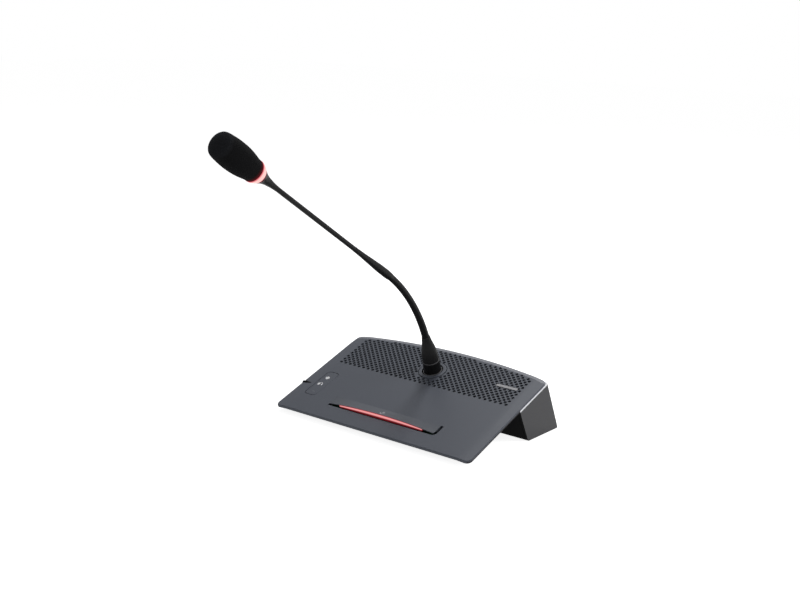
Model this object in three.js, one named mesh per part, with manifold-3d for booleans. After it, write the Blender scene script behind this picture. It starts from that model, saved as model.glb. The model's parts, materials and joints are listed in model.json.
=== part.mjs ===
import * as THREE from 'three';
import { mergeVertices } from 'three/addons/utils/BufferGeometryUtils.js';
import Module from 'manifold-3d';

const wasm = await Module();
wasm.setup();

// Conference delegate unit: a sloping deck on a rear housing, with a gooseneck microphone.
// Millimetres. X runs to the right, Y away from the speaker's seat and Z up. The origin is at
// the middle of the rear foot strip, on the desk.
// Deck pieces are drawn in the deck's own frame: x to the right, s up the slope from the deck's
// front edge, and n square to the deck's top face.

// Clearances and cutters
const gap = 0.3;
const overrun = 4;
const roundSides = 24;
const smallSides = 12;
const hexSides = 6;

// Deck plate
const deck = {
  width: 220,
  depth: 128.5,
  bulge: 10.8,
  thickness: 2.5,
  tiltDegrees: 20,
  frontHeight: 7.15,
  frontCorner: 5,
  rearCorner: 6,
  rimRoll: 1,
  foldWidth: 13,
  foldDrop: 1,
  footClearance: 1.5,
};

// Perforated field in the deck over the speaker, thinned from below to hold the dust screen
const grille = {
  sideMargin: 14.5,
  length: 47.8,
  rearMargin: 5,
  skin: 1.2,
  screenThickness: 0.4,
};

// Rear housing: walls lean back from the deck's underside to the desk
const housing = {
  length: 47.5,
  frontLeanDegrees: 28.5,
  rearLeanDegrees: 27,
  rearCorner: 1.5,
  wall: 2.5,
  floor: 2.5,
  bottomHeight: 0.6,
  bottomRound: 1.5,
};

// Shallow tray under the front of the deck
const tray = {
  sideInset: 9,
  front: 14,
  rearGap: 3,
  depth: 7.5,
  wall: 1.5,
  bossRadius: 3,
  bossSideInset: 36,
  frontBossInset: 6,
  rearBossInset: 7,
};

// Way for the flat cable between the tray and the housing
const cable = { x: -30, width: 14, height: 4 };

// Keel under the tray that carries the front foot strip
const keel = { sideInset: 50, front: 24, width: 9 };

// Rubber foot strips, set into shallow recesses
const foot = { thickness: 0.9, margin: 1, rearSideInset: 35, rearWidth: 10 };

// Screws: radius and height of the head, radius and reach of the shank
const screw = { headRadius: 2.2, headHeight: 0.9, shankRadius: 0.8, reach: 4 };
const longScrew = { headRadius: 2.6, headHeight: 1.8, shankRadius: 1.2, engagement: 8 };

// Talk button: a flap cut into the deck, hinged along its rear edge
const button = {
  halfWidth: 60,
  front: 18.4,
  rear: 33,
  slit: 2.2,
  sideSlit: 1,
  lipRise: 3.6,
  lipLeanShare: 0.2,
  lipThickness: 0.7,
  archHalfWidth: 62,
  ledge: 5.1,
};
const lightBar = { halfWidth: 48, setback: 1.2, depth: 3.5, bottom: 2.2 };
const plunger = { radius: 1.7, setback: 10.7, height: 2.5 };
const tactSwitch = { width: 6, height: 2.2, domeRadius: 1.5, domeHeight: 0.7 };

// Volume rocker, rocking about a steel pin under its middle
const rocker = {
  sideInset: 14.3,
  width: 13.8,
  frontShare: 0.31,
  rearShare: 0.792,
  corner: 4,
  endGap: 0.5,
  thickness: 2.2,
  ribLength: 5,
  ribInset: 1,
  pinRadius: 0.8,
  pinDrop: 4,
  ribEdge: 0.8,
  postThickness: 2.6,
  postLength: 4.4,
  pusherShare: 0.36,
  pusherHeight: 0.8,
};

// Front circuit board in the tray, with a row of lamps under the light bar
const frontBoard = { thickness: 1.6, rightInset: 46, front: 23, rearInset: 12 };
const barLamp = { count: 8, spacing: 12, width: 3, depth: 2, height: 1, setback: 24.4 };

// Headphone socket in the left edge
const jack = {
  slope: 41.5,
  drop: 2.7,
  proud: 0.8,
  noseRadius: 2.3,
  tailRadius: 2,
  length: 10.8,
  boreRadius: 1.8,
  boreDepth: 8,
  lugWidth: 4.6,
  lugLength: 7.8,
};

// Blank badge on the grille
const badge = { width: 22, depth: 4.5, thickness: 0.5, rightInset: 17.5, rearInset: 24 };

// Loudspeaker under the left half of the grille
const speaker = {
  sideInset: 60,
  rearInset: 21,
  radius: 20,
  flange: 1.5,
  earOffset: 23.2,
  earRadius: 4.2,
  gasketWidth: 3,
  gasketHeight: 1.4,
  basketDepth: 9,
  basketBottom: 12,
  sheet: 1.2,
  magnetRadius: 13,
  magnetHeight: 6,
  coneThickness: 0.6,
  coneDepth: 5,
  capRadius: 6,
  capHeight: 2,
};

// Gooseneck mount in the deck
const mount = {
  rearInset: 25.3,
  ringRadius: 13.7,
  ringInner: 8.45,
  ringDepth: 1.2,
  ringProud: 0.35,
  hubRadius: 11,
  nutRadius: 14,
  nutHeight: 4,
  landRadius: 17,
  collarRadius: 8.15,
  collarHeight: 9,
  collarReach: 20,
  trimRadius: 9.1,
  trimHeight: 0.8,
};

// Gooseneck: lengths along its centre line, from the deck
const neck = {
  arcStart: 21,
  arcEnd: 129.7,
  leanDegrees: 58.3,
  firstJoint: 42,
  lastJoint: 120,
  links: 5,
  radius: 3.3,
  ballRadius: 2.6,
  stemRadius: 1.6,
  stemLength: 3.3,
  rimDegrees: 65,
  coreRadius: 2.2,
  shoulder: 0.9,
};
const boot = { start: 10.1, end: 38, bore: 2.5 };
const bootRing = { start: 9.3, height: 0.5, radius: 7.9 };
const bootRadiusShares = [
  [0, 1], [0.18, 0.99], [0.34, 0.95], [0.5, 0.86], [0.64, 0.74], [0.8, 0.61], [1, 0.51],
];
const bootRadius = 7.65;

// Rigid upper part of the microphone
const sleeve = { end: 184, radius: 3.75, endRadius: 2.2 };
const sleeveShares = [
  [0, 0.78], [0.02, 0.86], [0.06, 0.93], [0.12, 1], [0.24, 0.99], [0.37, 0.96], [0.51, 0.86],
  [0.64, 0.77], [0.77, 0.675], [0.9, 0.62],
];
const upperTube = { radius: 2.12, end: 296 };
const holder = { start: 296.3, end: 319.7, endRadius: 7.2, coreRadius: 3.5, coreEnd: 327.4 };
const holderShares = [
  [0, 0.31], [0.17, 0.33], [0.34, 0.39], [0.51, 0.47], [0.61, 0.52], [0.82, 0.72], [0.93, 0.9],
];
const lightRing = { start: 320, end: 327, startRadius: 7.3, endRadius: 9.4 };
const capsule = { radius: 6.5, length: 27, rimRadius: 5.6, rimLength: 2 };
const windscreen = { start: 327.3, end: 371.3, radius: 12.15, boreDepth: 28.7 };
const windscreenShares = [
  [0, 0.77], [0.08, 0.8], [0.14, 0.845], [0.225, 0.905], [0.31, 0.95], [0.4, 0.98], [0.56, 1],
  [0.64, 0.99], [0.73, 0.967], [0.82, 0.935], [0.88, 0.905], [0.92, 0.87], [0.95, 0.75],
  [0.977, 0.54], [0.993, 0.29],
];

// Main circuit board on the floor of the housing, with two network sockets through the rear wall
const mainBoard = { left: 6, rightInset: 26, front: -30, rear: 2, thickness: 1.6, standoff: 3.3 };
const boardPost = { radius: 2.6, inset: 4 };
const chip = { width: 12, thickness: 1.4, x: 44, y: -21 };
const network = { width: 16, height: 13.4, bodyFront: -12, faceY: 10.5, firstX: 28, pitch: 24 };
const networkMouth = { width: 11.8, height: 8.4, depth: 13, rise: 2.4, notchWidth: 6.2, notchHeight: 2 };
const shroud = { wall: 1.5, front: 4 };

// Bosses that join the covers
const coverBoss = { sideInset: 8.5, y: -18, radius: 3.5, height: 18 };
const lug = { radius: 3.6, height: 12, places: [-27, 2] };

// Placement of the deck frame in the part's frame
const tilt = THREE.MathUtils.degToRad(deck.tiltDegrees);
const frontLean = THREE.MathUtils.degToRad(housing.frontLeanDegrees);
const rearLean = THREE.MathUtils.degToRad(housing.rearLeanDegrees);
const halfWidth = deck.width / 2;
const underside = -deck.thickness;
const footSetback = deck.depth + deck.footClearance;
const grilleFront = deck.depth - grille.length;
const housingFront = deck.depth - housing.length;
const mountSlope = deck.depth - mount.rearInset;
const speakerSlope = deck.depth - speaker.rearInset;
const speakerX = -halfWidth + speaker.sideInset;
const deckMatrix = new THREE.Matrix4()
  .makeRotationX(tilt)
  .setPosition(0, -footSetback, deck.frontHeight);
const worldToDeck = deckMatrix.clone().invert();

function deckPoint(x, s, n) {
  return new THREE.Vector3(x, s, n).applyMatrix4(deckMatrix);
}

// Solid modelling helpers

function toSolid(geometry) {
  const bare = geometry.clone();
  bare.deleteAttribute('normal');
  bare.deleteAttribute('uv');
  const merged = mergeVertices(bare);
  const vertProperties = new Float32Array(merged.attributes.position.array);
  const kept = [];
  let volume = 0;
  const corner = [new THREE.Vector3(), new THREE.Vector3(), new THREE.Vector3()];
  for (let i = 0; i < merged.index.count; i += 3) {
    const face = [0, 1, 2].map((k) => merged.index.getX(i + k));
    if (new Set(face).size < face.length) continue;
    face.forEach((vertex, k) => corner[k].fromArray(vertProperties, vertex * face.length));
    volume += corner[0].dot(corner[1].clone().cross(corner[2]));
    kept.push(face);
  }
  const ordered = volume > 0 ? kept : kept.map(([a, b, c]) => [a, c, b]);
  const triVerts = new Uint32Array(ordered.flat());
  return new wasm.Manifold(new wasm.Mesh({ numProp: 3, vertProperties, triVerts }));
}

function toGeometry(solid) {
  const mesh = solid.getMesh();
  const geometry = new THREE.BufferGeometry();
  geometry.setAttribute('position', new THREE.BufferAttribute(mesh.vertProperties, mesh.numProp));
  geometry.setIndex(new THREE.BufferAttribute(mesh.triVerts, 1));
  geometry.computeVertexNormals();
  return geometry;
}

function joined(solids) {
  return solids.reduce((whole, solid) => whole.add(solid));
}

function cut(solid, cutters) {
  return cutters.reduce((rest, cutter) => rest.subtract(cutter), solid);
}

function moved(solid, matrix) {
  const geometry = toGeometry(solid);
  geometry.applyMatrix4(matrix);
  return toSolid(geometry);
}

function shifted(solid, x, y, z) {
  return moved(solid, new THREE.Matrix4().makeTranslation(x, y, z));
}

function box(x0, x1, y0, y1, z0, z1) {
  const geometry = new THREE.BoxGeometry(x1 - x0, y1 - y0, z1 - z0);
  geometry.translate((x0 + x1) / 2, (y0 + y1) / 2, (z0 + z1) / 2);
  return toSolid(geometry);
}

function extruded(points, depth) {
  const shape = new THREE.Shape(points.map(([x, y]) => new THREE.Vector2(x, y)));
  return new THREE.ExtrudeGeometry(shape, { depth, bevelEnabled: false });
}

// A prism along Z from an outline in X and Y
function prism(points, z0, z1) {
  return toSolid(extruded(points, z1 - z0).translate(0, 0, z0));
}

// A prism along X from an outline in Y and Z
function prismAcross(points, x0, x1) {
  const turn = new THREE.Matrix4().makeBasis(
    new THREE.Vector3(0, 1, 0), new THREE.Vector3(0, 0, 1), new THREE.Vector3(1, 0, 0));
  return toSolid(extruded(points, x1 - x0).applyMatrix4(turn).translate(x0, 0, 0));
}

// A turned solid about Z from radius and height pairs
function turned(profile, sides = roundSides) {
  const points = profile.map(([radius, height]) => new THREE.Vector2(radius, height));
  return toSolid(new THREE.LatheGeometry(points, sides).rotateX(Math.PI / 2));
}

function rod(radius, z0, z1, sides = roundSides) {
  return turned([[0, z0], [radius, z0], [radius, z1], [0, z1]], sides);
}

function ring(inner, outer, z0, z1, sides = roundSides) {
  return turned([[inner, z0], [outer, z0], [outer, z1], [inner, z1], [inner, z0]], sides);
}

function rodAt(radius, x, y, z0, z1, sides = roundSides) {
  return shifted(rod(radius, z0, z1, sides), x, y, 0);
}

// A rod along X
function rodAcross(radius, y, z, x0, x1, sides = smallSides) {
  const turn = new THREE.Matrix4().makeRotationY(Math.PI / 2).setPosition(0, y, z);
  return moved(rod(radius, x0, x1, sides), turn);
}

function roundedRectangle(x0, x1, y0, y1, radius, steps = 4) {
  const centres = [[x1 - radius, y0 + radius], [x1 - radius, y1 - radius],
    [x0 + radius, y1 - radius], [x0 + radius, y0 + radius]];
  const points = [];
  centres.forEach(([x, y], corner) => {
    for (let i = 0; i <= steps; i += 1) {
      const angle = (corner - 1 + i / steps) * (Math.PI / 2);
      points.push([x + radius * Math.cos(angle), y + radius * Math.sin(angle)]);
    }
  });
  return points;
}

// The faces that close a convex ring
function fanFaces(ringPoints) {
  return ringPoints.slice(2).map((unused, i) => [0, i + 1, i + 2]);
}

// The faces that close a ring of any outline in a plane square to X
function sectionFaces(ringPoints) {
  const contour = ringPoints.map((point) => new THREE.Vector2(point.y, point.z));
  return THREE.ShapeUtils.triangulateShape(contour, []);
}

// A solid through a stack of rings with equal counts of points
function lofted(rings, closingFaces = fanFaces) {
  const count = rings[0].length;
  const indices = [];
  for (let level = 0; level + 1 < rings.length; level += 1) {
    for (let i = 0; i < count; i += 1) {
      const a = level * count + i;
      const b = level * count + (i + 1) % count;
      indices.push(a, b, b + count, a, b + count, a + count);
    }
  }
  const top = (rings.length - 1) * count;
  closingFaces(rings[0]).forEach(([a, b, c]) => indices.push(a, c, b));
  closingFaces(rings[rings.length - 1]).forEach(([a, b, c]) => {
    indices.push(top + a, top + b, top + c);
  });
  const geometry = new THREE.BufferGeometry();
  geometry.setFromPoints(rings.flat());
  geometry.setIndex(indices);
  return toSolid(geometry);
}

// Outlines of the deck and the housing

function rearEdge(x) {
  return deck.depth + deck.bulge * (1 - (x / halfWidth) ** 2);
}

// The curved rear edge with its two rounded corners, from the right side to the left
function rearOutline(inset, corner = deck.rearCorner) {
  const cornerSteps = 5;
  const arcSteps = 14;
  const side = halfWidth - inset;
  const radius = corner - Math.min(inset, corner / 2);
  const slope = Math.atan(2 * deck.bulge * (side - radius) / halfWidth ** 2);
  const tangentX = side - radius + radius * Math.sin(slope);
  const centreS = rearEdge(tangentX) - inset - radius * Math.cos(slope);
  const bend = [];
  for (let i = 0; i <= cornerSteps; i += 1) {
    const angle = (Math.PI / 2 - slope) * (i / cornerSteps);
    bend.push([side - radius + radius * Math.cos(angle), centreS + radius * Math.sin(angle)]);
  }
  const arc = [];
  for (let i = 1; i < arcSteps; i += 1) {
    const x = tangentX * (1 - 2 * i / arcSteps);
    arc.push([x, rearEdge(x) - inset]);
  }
  const mirrored = bend.map(([x, s]) => [-x, s]).reverse();
  return [...bend, ...arc, ...mirrored];
}

function deckOutline(inset, steps = 5) {
  const side = halfWidth - inset;
  const radius = deck.frontCorner - Math.min(inset, deck.frontCorner / 2);
  const front = [];
  for (let i = 0; i <= steps; i += 1) {
    const angle = -Math.PI / 2 + (Math.PI / 2) * (i / steps);
    front.push([side - radius + radius * Math.cos(angle), inset + radius + radius * Math.sin(angle)]);
  }
  const left = front.map(([x, s]) => [-x, s]).reverse();
  return [...left, ...front, ...rearOutline(inset)];
}

// Cross-section of the deck, whose side strips fold down
function foldedProfile(thickness, top = 0) {
  const flat = halfWidth - deck.foldWidth;
  const edge = halfWidth + overrun;
  const drop = deck.foldDrop * (deck.foldWidth + overrun) / deck.foldWidth;
  return [[-edge, top - drop], [-edge, -thickness - drop], [-flat, -thickness], [flat, -thickness],
    [edge, -thickness - drop], [edge, top - drop], [flat, top], [-flat, top]];
}

function foldedSlab(thickness, top) {
  const turn = new THREE.Matrix4().makeBasis(
    new THREE.Vector3(1, 0, 0), new THREE.Vector3(0, 0, 1), new THREE.Vector3(0, -1, 0));
  const length = deck.depth + deck.bulge + 2 * overrun;
  const slab = extruded(foldedProfile(thickness, top), length).applyMatrix4(turn);
  return toSolid(slab.translate(0, length - overrun, 0));
}

// Plan section of the housing at a height; inset moves its walls inwards
function housingSection(z, inset, roundOff = 0, openFront = 0) {
  const side = halfWidth - inset;
  const frontTop = deckPoint(0, housingFront, underside);
  const frontY = frontTop.y + (frontTop.z - z) * Math.tan(frontLean)
    + (openFront || inset / Math.cos(frontLean)) + roundOff;
  const rear = rearOutline(inset, housing.rearCorner).map(([x, s]) => {
    const top = deckPoint(x, s, 0);
    return new THREE.Vector3(x, top.y + (top.z - z) * Math.tan(rearLean) - roundOff, z);
  });
  return [new THREE.Vector3(-side, frontY, z), new THREE.Vector3(side, frontY, z), ...rear];
}

function housingBlock(inset, z0, openFront) {
  const top = deckPoint(0, deck.depth + deck.bulge, 0).z + overrun;
  return lofted([housingSection(z0, inset, 0, openFront), housingSection(top, inset, 0, openFront)]);
}

// The housing's outer body, rounded along its bottom edges and trimmed to the deck's underside
function housingBody() {
  const radius = housing.bottomRound;
  const steps = 4;
  const rings = [];
  for (let i = 0; i <= steps; i += 1) {
    const angle = (Math.PI / 2) * (i / steps);
    const rise = radius * (1 - Math.cos(angle));
    const roundOff = radius * (1 - Math.sin(angle));
    rings.push(housingSection(housing.bottomHeight + rise, 0, roundOff));
  }
  const top = deckPoint(0, deck.depth + deck.bulge, 0).z + overrun;
  rings.push(housingSection(top, 0));
  const slab = foldedSlab(deck.thickness + gap, deck.depth);
  return lofted(rings).subtract(moved(slab, deckMatrix));
}

// Scene graph

const unit = new THREE.Group();
const deckGroup = new THREE.Group();
deckGroup.position.set(0, -footSetback, deck.frontHeight);
deckGroup.rotation.x = tilt;
unit.add(deckGroup);

function finish(color, roughness, metalness = 0) {
  return { color, roughness, metalness };
}

const shellGrey = finish(0x565961, 0.55);
const cheekGrey = finish(0x555557, 0.6);
const black = finish(0x17181a, 0.5);
const rubber = finish(0x101011, 0.9);
const steel = finish(0xa8abb0, 0.35, 1);
const brass = finish(0xb8a060, 0.4, 1);
const boardGreen = finish(0x1f5a3a, 0.6);
const foam = finish(0x1a1a1b, 1);
const cloth = finish(0x141416, 0.95);
const lensRed = finish(0xd8404a, 0.3);
const ringPink = finish(0xf2b8b8, 0.3);
const silver = finish(0xb4b6ba, 0.35, 0.9);
const paper = finish(0x2a2a2c, 0.9);

function piece(parent, name, solid, look) {
  const mesh = new THREE.Mesh(toGeometry(solid), new THREE.MeshStandardMaterial(look));
  mesh.name = name;
  parent.add(mesh);
  return mesh;
}

// Screws of one kind; each head stands on its seat, on the side away from the screw's tip
function screws(parent, name, places, size, seat, tip) {
  const headEnd = seat - Math.sign(tip - seat) * size.headHeight;
  places.forEach(([x, y], i) => {
    const shape = turned([[0, headEnd], [size.headRadius, headEnd], [size.headRadius, seat],
      [size.shankRadius, seat], [size.shankRadius, tip], [0, tip]], smallSides);
    piece(parent, `${name}_${i + 1}`, shape.translate([x, y, 0]), steel);
  });
}

// Places that several pieces share

const trayHalfWidth = halfWidth - tray.sideInset;
const trayRear = housingFront - tray.rearGap;
const trayFloor = underside - tray.depth;
const keelHalfLength = halfWidth - keel.sideInset;
const rearFootHalfLength = halfWidth - foot.rearSideInset;
const keelFront = keel.front - footSetback;
const boardBottom = trayFloor + tray.wall + gap;
const boardTop = boardBottom + frontBoard.thickness;
const switchBottom = boardTop + gap;
const trayBossX = halfWidth - tray.bossSideInset;
const trayBosses = [tray.front + tray.frontBossInset, trayRear - tray.rearBossInset]
  .flatMap((s) => [[-trayBossX, s], [trayBossX, s]]);
const rockerLeft = -halfWidth + rocker.sideInset;
const rockerRight = rockerLeft + rocker.width;
const rockerFront = rocker.frontShare * grilleFront;
const rockerRear = rocker.rearShare * grilleFront;
const rockerMiddle = (rockerFront + rockerRear) / 2;
const rockerX = (rockerLeft + rockerRight) / 2;
const pusherOffset = rocker.pusherShare * (rockerRear - rockerFront);
const postBottom = -rocker.pinDrop - rocker.pinRadius - gap - rocker.ribEdge;
const postSpans = [
  [rockerLeft - 2 * gap - rocker.postThickness, rockerLeft - 2 * gap],
  [rockerRight + 2 * gap, rockerRight + 2 * gap + rocker.postThickness],
];
const ears = [-1, 1].map((side) => [speakerX + side * speaker.earOffset, speakerSlope]);
const screenTop = -grille.skin - gap;
const gasketTop = screenTop - grille.screenThickness - gap;
const flangeTop = gasketTop - speaker.gasketHeight - gap;
const flangeBottom = flangeTop - speaker.flange;
const floorTop = housing.bottomHeight + housing.floor;
const coverBossPlaces = [-1, 1].map((side) => [
  side * (halfWidth - coverBoss.sideInset), coverBoss.y]);
const pilotRadius = screw.shankRadius + gap;

// Deck cover

function rolledPlate() {
  const steps = 4;
  const squash = (outline, roll) => outline.map(([x, s]) => {
    const reach = THREE.MathUtils.smoothstep(s, grilleFront, deck.depth - deck.rearCorner);
    return [x, s - roll * reach];
  });
  const level = (outline, n) => outline.map(([x, s]) => new THREE.Vector3(x, s, n));
  const outline = deckOutline(0);
  const rings = [level(outline, underside - deck.foldDrop - overrun), level(outline, underside)];
  for (let i = 1; i <= steps; i += 1) {
    const angle = (Math.PI / 2) * (i / steps);
    const roll = deck.rimRoll * (1 - Math.cos(angle));
    rings.push(level(squash(outline, roll), underside + deck.thickness * Math.sin(angle)));
  }
  rings.push(level(squash(outline, deck.rimRoll), overrun));
  return lofted(rings).intersect(foldedSlab(deck.thickness));
}

// Outline of the perforated field, drawn in from its edges by inset
function grilleOutline(inset) {
  const side = halfWidth - grille.sideMargin - inset;
  const steps = 12;
  const points = [[-side, grilleFront + inset], [side, grilleFront + inset]];
  for (let i = 0; i <= steps; i += 1) {
    const x = side * (1 - 2 * i / steps);
    points.push([x, rearEdge(x) - grille.rearMargin - inset]);
  }
  return points;
}

function jackCone(radius, tail, x0, x1) {
  const turn = new THREE.Matrix4().makeRotationY(Math.PI / 2).setPosition(0, jack.slope, -jack.drop);
  return moved(turned([[0, x0], [radius, x0], [tail, x1], [0, x1]], roundSides), turn);
}

function topCover() {
  const reach = -deck.thickness - overrun;
  const jackEnd = -halfWidth - jack.proud;
  const pocket = cut(prism(grilleOutline(0), reach, -grille.skin), [
    rodAt(mount.landRadius, 0, mountSlope, reach, overrun),
    ...ears.map(([x, s]) => rodAt(tray.bossRadius, x, s, reach, overrun, smallSides)),
  ]);
  const buttonHole = prism(
    roundedRectangle(-button.halfWidth, button.halfWidth, button.front, button.rear, gap),
    reach, button.lipRise + overrun);
  const rockerHole = prism(
    roundedRectangle(rockerLeft, rockerRight, rockerFront, rockerRear, rocker.corner),
    reach, overrun);
  const ringRecess = rodAt(mount.ringRadius + gap, 0, mountSlope, -mount.ringDepth - gap, overrun);
  const ringHole = rodAt(mount.hubRadius + gap, 0, mountSlope, reach, overrun);
  const growth = (jack.noseRadius - jack.tailRadius) / jack.length * overrun;
  const jackNotch = jackCone(jack.noseRadius + gap + growth, jack.tailRadius + gap,
    jackEnd - overrun, jackEnd + jack.length);
  const plate = cut(rolledPlate(), [pocket, buttonHole, rockerHole, ringRecess, ringHole, jackNotch]);
  const root = underside + deck.thickness / 2;
  const bosses = trayBosses.map(([x, s]) => ring(pilotRadius, tray.bossRadius,
    trayFloor + tray.wall + gap, root, smallSides).translate([x, s, 0]));
  const earBosses = ears.map(([x, s]) => rodAt(tray.bossRadius, x, s, flangeTop + gap,
    root, smallSides));
  const earPilots = ears.map(([x, s]) => rodAt(pilotRadius, x, s, flangeTop - gap,
    -grille.skin, smallSides));
  const posts = postSpans.map(([x0, x1]) => box(x0, x1, rockerMiddle - rocker.postLength / 2,
    rockerMiddle + rocker.postLength / 2, postBottom, root - deck.foldDrop / 2));
  const pinHole = rodAcross(rocker.pinRadius + gap, rockerMiddle, -rocker.pinDrop,
    postSpans[0][0] - overrun, postSpans[1][1] + overrun);
  const below = box(-halfWidth, halfWidth, 0, deck.depth, -deck.depth, root - deck.foldDrop / 2);
  const downBosses = coverBossPlaces.map(([x, y]) => {
    const upright = ring(longScrew.shankRadius + gap, coverBoss.radius, coverBoss.height,
      deck.depth, smallSides).translate([x, y, 0]);
    return moved(upright, worldToDeck).intersect(below);
  });
  const whole = joined([plate, ...bosses, ...earBosses, ...downBosses,
    ...posts.map((post) => post.subtract(pinHole))]);
  return cut(whole, earPilots);
}

piece(deckGroup, 'top_cover', topCover(), shellGrey);

// Dust screen under the perforations

const screen = cut(
  prism(grilleOutline(gap), screenTop - grille.screenThickness, screenTop), [
    rodAt(mount.landRadius + gap, 0, mountSlope, underside, overrun),
    ...ears.map(([x, s]) => rodAt(tray.bossRadius + gap, x, s, underside, overrun, smallSides)),
  ]);
piece(deckGroup, 'dust_screen', screen, cloth);

// Blank badge

const badgeRight = halfWidth - badge.rightInset;
const badgeSlope = deck.depth - badge.rearInset;
piece(deckGroup, 'blank_badge', prism(
  roundedRectangle(badgeRight - badge.width, badgeRight, badgeSlope - badge.depth / 2,
    badgeSlope + badge.depth / 2, badge.thickness),
  gap, gap + badge.thickness), silver);

// Front tray with its keel

function trayBody() {
  const outline = [[tray.front, overrun], [tray.front, trayFloor], [trayRear, trayFloor],
    [trayRear, overrun]];
  const shell = prismAcross(outline, -trayHalfWidth, trayHalfWidth);
  const block = box(-keelHalfLength, keelHalfLength, keelFront, keelFront + keel.width,
    housing.bottomHeight, deckPoint(0, keel.front, trayFloor + tray.wall / 2).z);
  const recess = box(-keelHalfLength + foot.margin, keelHalfLength - foot.margin,
    keelFront + foot.margin, keelFront + keel.width - foot.margin,
    housing.bottomHeight - overrun, foot.thickness + gap);
  const ribs = moved(block.subtract(recess), worldToDeck);
  const cavity = prismAcross([
    [tray.front + tray.wall, overrun + gap], [tray.front + tray.wall, trayFloor + tray.wall],
    [trayRear - tray.wall, trayFloor + tray.wall], [trayRear - tray.wall, overrun + gap],
  ], -trayHalfWidth + tray.wall, trayHalfWidth - tray.wall);
  const jackGate = box(-trayHalfWidth - overrun, -trayHalfWidth + tray.wall + gap,
    jack.slope - jack.noseRadius - gap, jack.slope + jack.noseRadius + gap,
    boardTop, overrun);
  const holes = trayBosses.map(([x, s]) => rodAt(pilotRadius, x, s, trayFloor - overrun,
    trayFloor + 2 * tray.wall, smallSides));
  const cableSlot = box(cable.x - cable.width / 2, cable.x + cable.width / 2,
    trayRear - tray.wall - gap, trayRear + overrun, boardTop, overrun);
  const body = cut(shell.add(ribs), [cavity, jackGate, cableSlot, ...holes]);
  return body.subtract(foldedSlab(deck.thickness + gap, deck.depth));
}

piece(deckGroup, 'front_tray', trayBody(), black);

screws(deckGroup, 'tray_screw', trayBosses, screw, trayFloor - gap,
  trayFloor + tray.wall + screw.reach);

// Front board, its switches and lamps

const frontBoardRight = halfWidth - frontBoard.rightInset;
const frontBoardRear = trayRear - frontBoard.rearInset;
const boardPlate = prism([
  [-trayHalfWidth + tray.wall + gap, frontBoard.front], [frontBoardRight, frontBoard.front],
  [frontBoardRight, frontBoardRear], [-trayHalfWidth + tray.wall + gap, frontBoardRear],
], boardBottom, boardTop);
piece(deckGroup, 'front_board', cut(boardPlate, trayBosses.map(([x, s]) => rodAt(
  tray.bossRadius + gap, x, s, trayFloor, overrun, smallSides))), boardGreen);

const lampEnd = barLamp.count * barLamp.spacing / 2;
const lampBase = box(-lampEnd, lampEnd, barLamp.setback - barLamp.depth / 2,
  barLamp.setback + barLamp.depth / 2, switchBottom, switchBottom + barLamp.height / 2);
const lamps = Array.from({ length: barLamp.count }, (unused, i) => {
  const x = (i - (barLamp.count - 1) / 2) * barLamp.spacing;
  return box(x - barLamp.width / 2, x + barLamp.width / 2, barLamp.setback - barLamp.depth / 2,
    barLamp.setback + barLamp.depth / 2, switchBottom, switchBottom + barLamp.height);
});
piece(deckGroup, 'lamp_strip', joined([lampBase, ...lamps]), silver);

function switchBody(x, s) {
  const half = tactSwitch.width / 2;
  return box(x - half, x + half, s - half, s + half, switchBottom, switchBottom + tactSwitch.height);
}

[-1, 1].forEach((end, i) => {
  const s = rockerMiddle + end * pusherOffset;
  const top = switchBottom + tactSwitch.height;
  piece(deckGroup, `rocker_switch_${i + 1}`, switchBody(rockerX, s).add(rodAt(
    tactSwitch.domeRadius, rockerX, s, top - tactSwitch.domeHeight, top + tactSwitch.domeHeight,
    smallSides)), black);
});

// Talk button

const buttonRear = button.rear - gap;
const buttonFront = button.front + button.slit;
const plungerS = button.front + plunger.setback;
const plungerTop = underside - gap;
const plungerBottom = plungerTop - plunger.height;

function lipRise(x) {
  return button.lipRise * (1 - (x / button.archHalfWidth) ** 2);
}

function lipEdge(rise) {
  return buttonFront + button.lipLeanShare * rise;
}

// Height of the flap's top face, which slopes from its lip down to its hinge
function flapTop(rise, s) {
  return rise * (buttonRear - s) / (buttonRear - lipEdge(rise));
}

// A solid from x0 to x1 whose cross-section follows the height of the arched lip
function archedSolid(x0, x1, section, steps = 24) {
  const rings = Array.from({ length: steps + 1 }, (unused, i) => {
    const x = x0 + (x1 - x0) * i / steps;
    return section(lipRise(x)).map(([s, n]) => new THREE.Vector3(x, s, n));
  });
  return lofted(rings, sectionFaces);
}

function flapSection(rise) {
  const ledge = buttonFront + button.ledge;
  return [
    [lipEdge(rise), rise - button.lipThickness],
    [ledge, flapTop(rise, ledge) - button.lipThickness],
    [ledge, underside],
    [buttonRear, underside],
    [buttonRear, 0],
    [lipEdge(rise), rise],
  ];
}

function lensSection(rise) {
  const face = buttonFront + lightBar.setback;
  const rear = face + lightBar.depth;
  const clearance = button.lipThickness + gap;
  return [
    [face, -lightBar.bottom],
    [rear, -lightBar.bottom],
    [rear, flapTop(rise, rear) - clearance],
    [face, flapTop(rise, face) - clearance],
  ];
}

piece(deckGroup, 'talk_button', archedSolid(
  -button.halfWidth + gap, button.halfWidth - button.sideSlit, flapSection), shellGrey);
piece(deckGroup, 'light_bar', archedSolid(
  -lightBar.halfWidth, lightBar.halfWidth, lensSection), lensRed);

piece(deckGroup, 'switch_plunger',
  rodAt(plunger.radius, 0, plungerS, plungerBottom, plungerTop, smallSides), black);
piece(deckGroup, 'talk_switch', switchBody(0, plungerS).subtract(rodAt(plunger.radius + gap, 0,
  plungerS, plungerBottom - 2 * gap, overrun, smallSides)), black);

// Volume rocker

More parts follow.
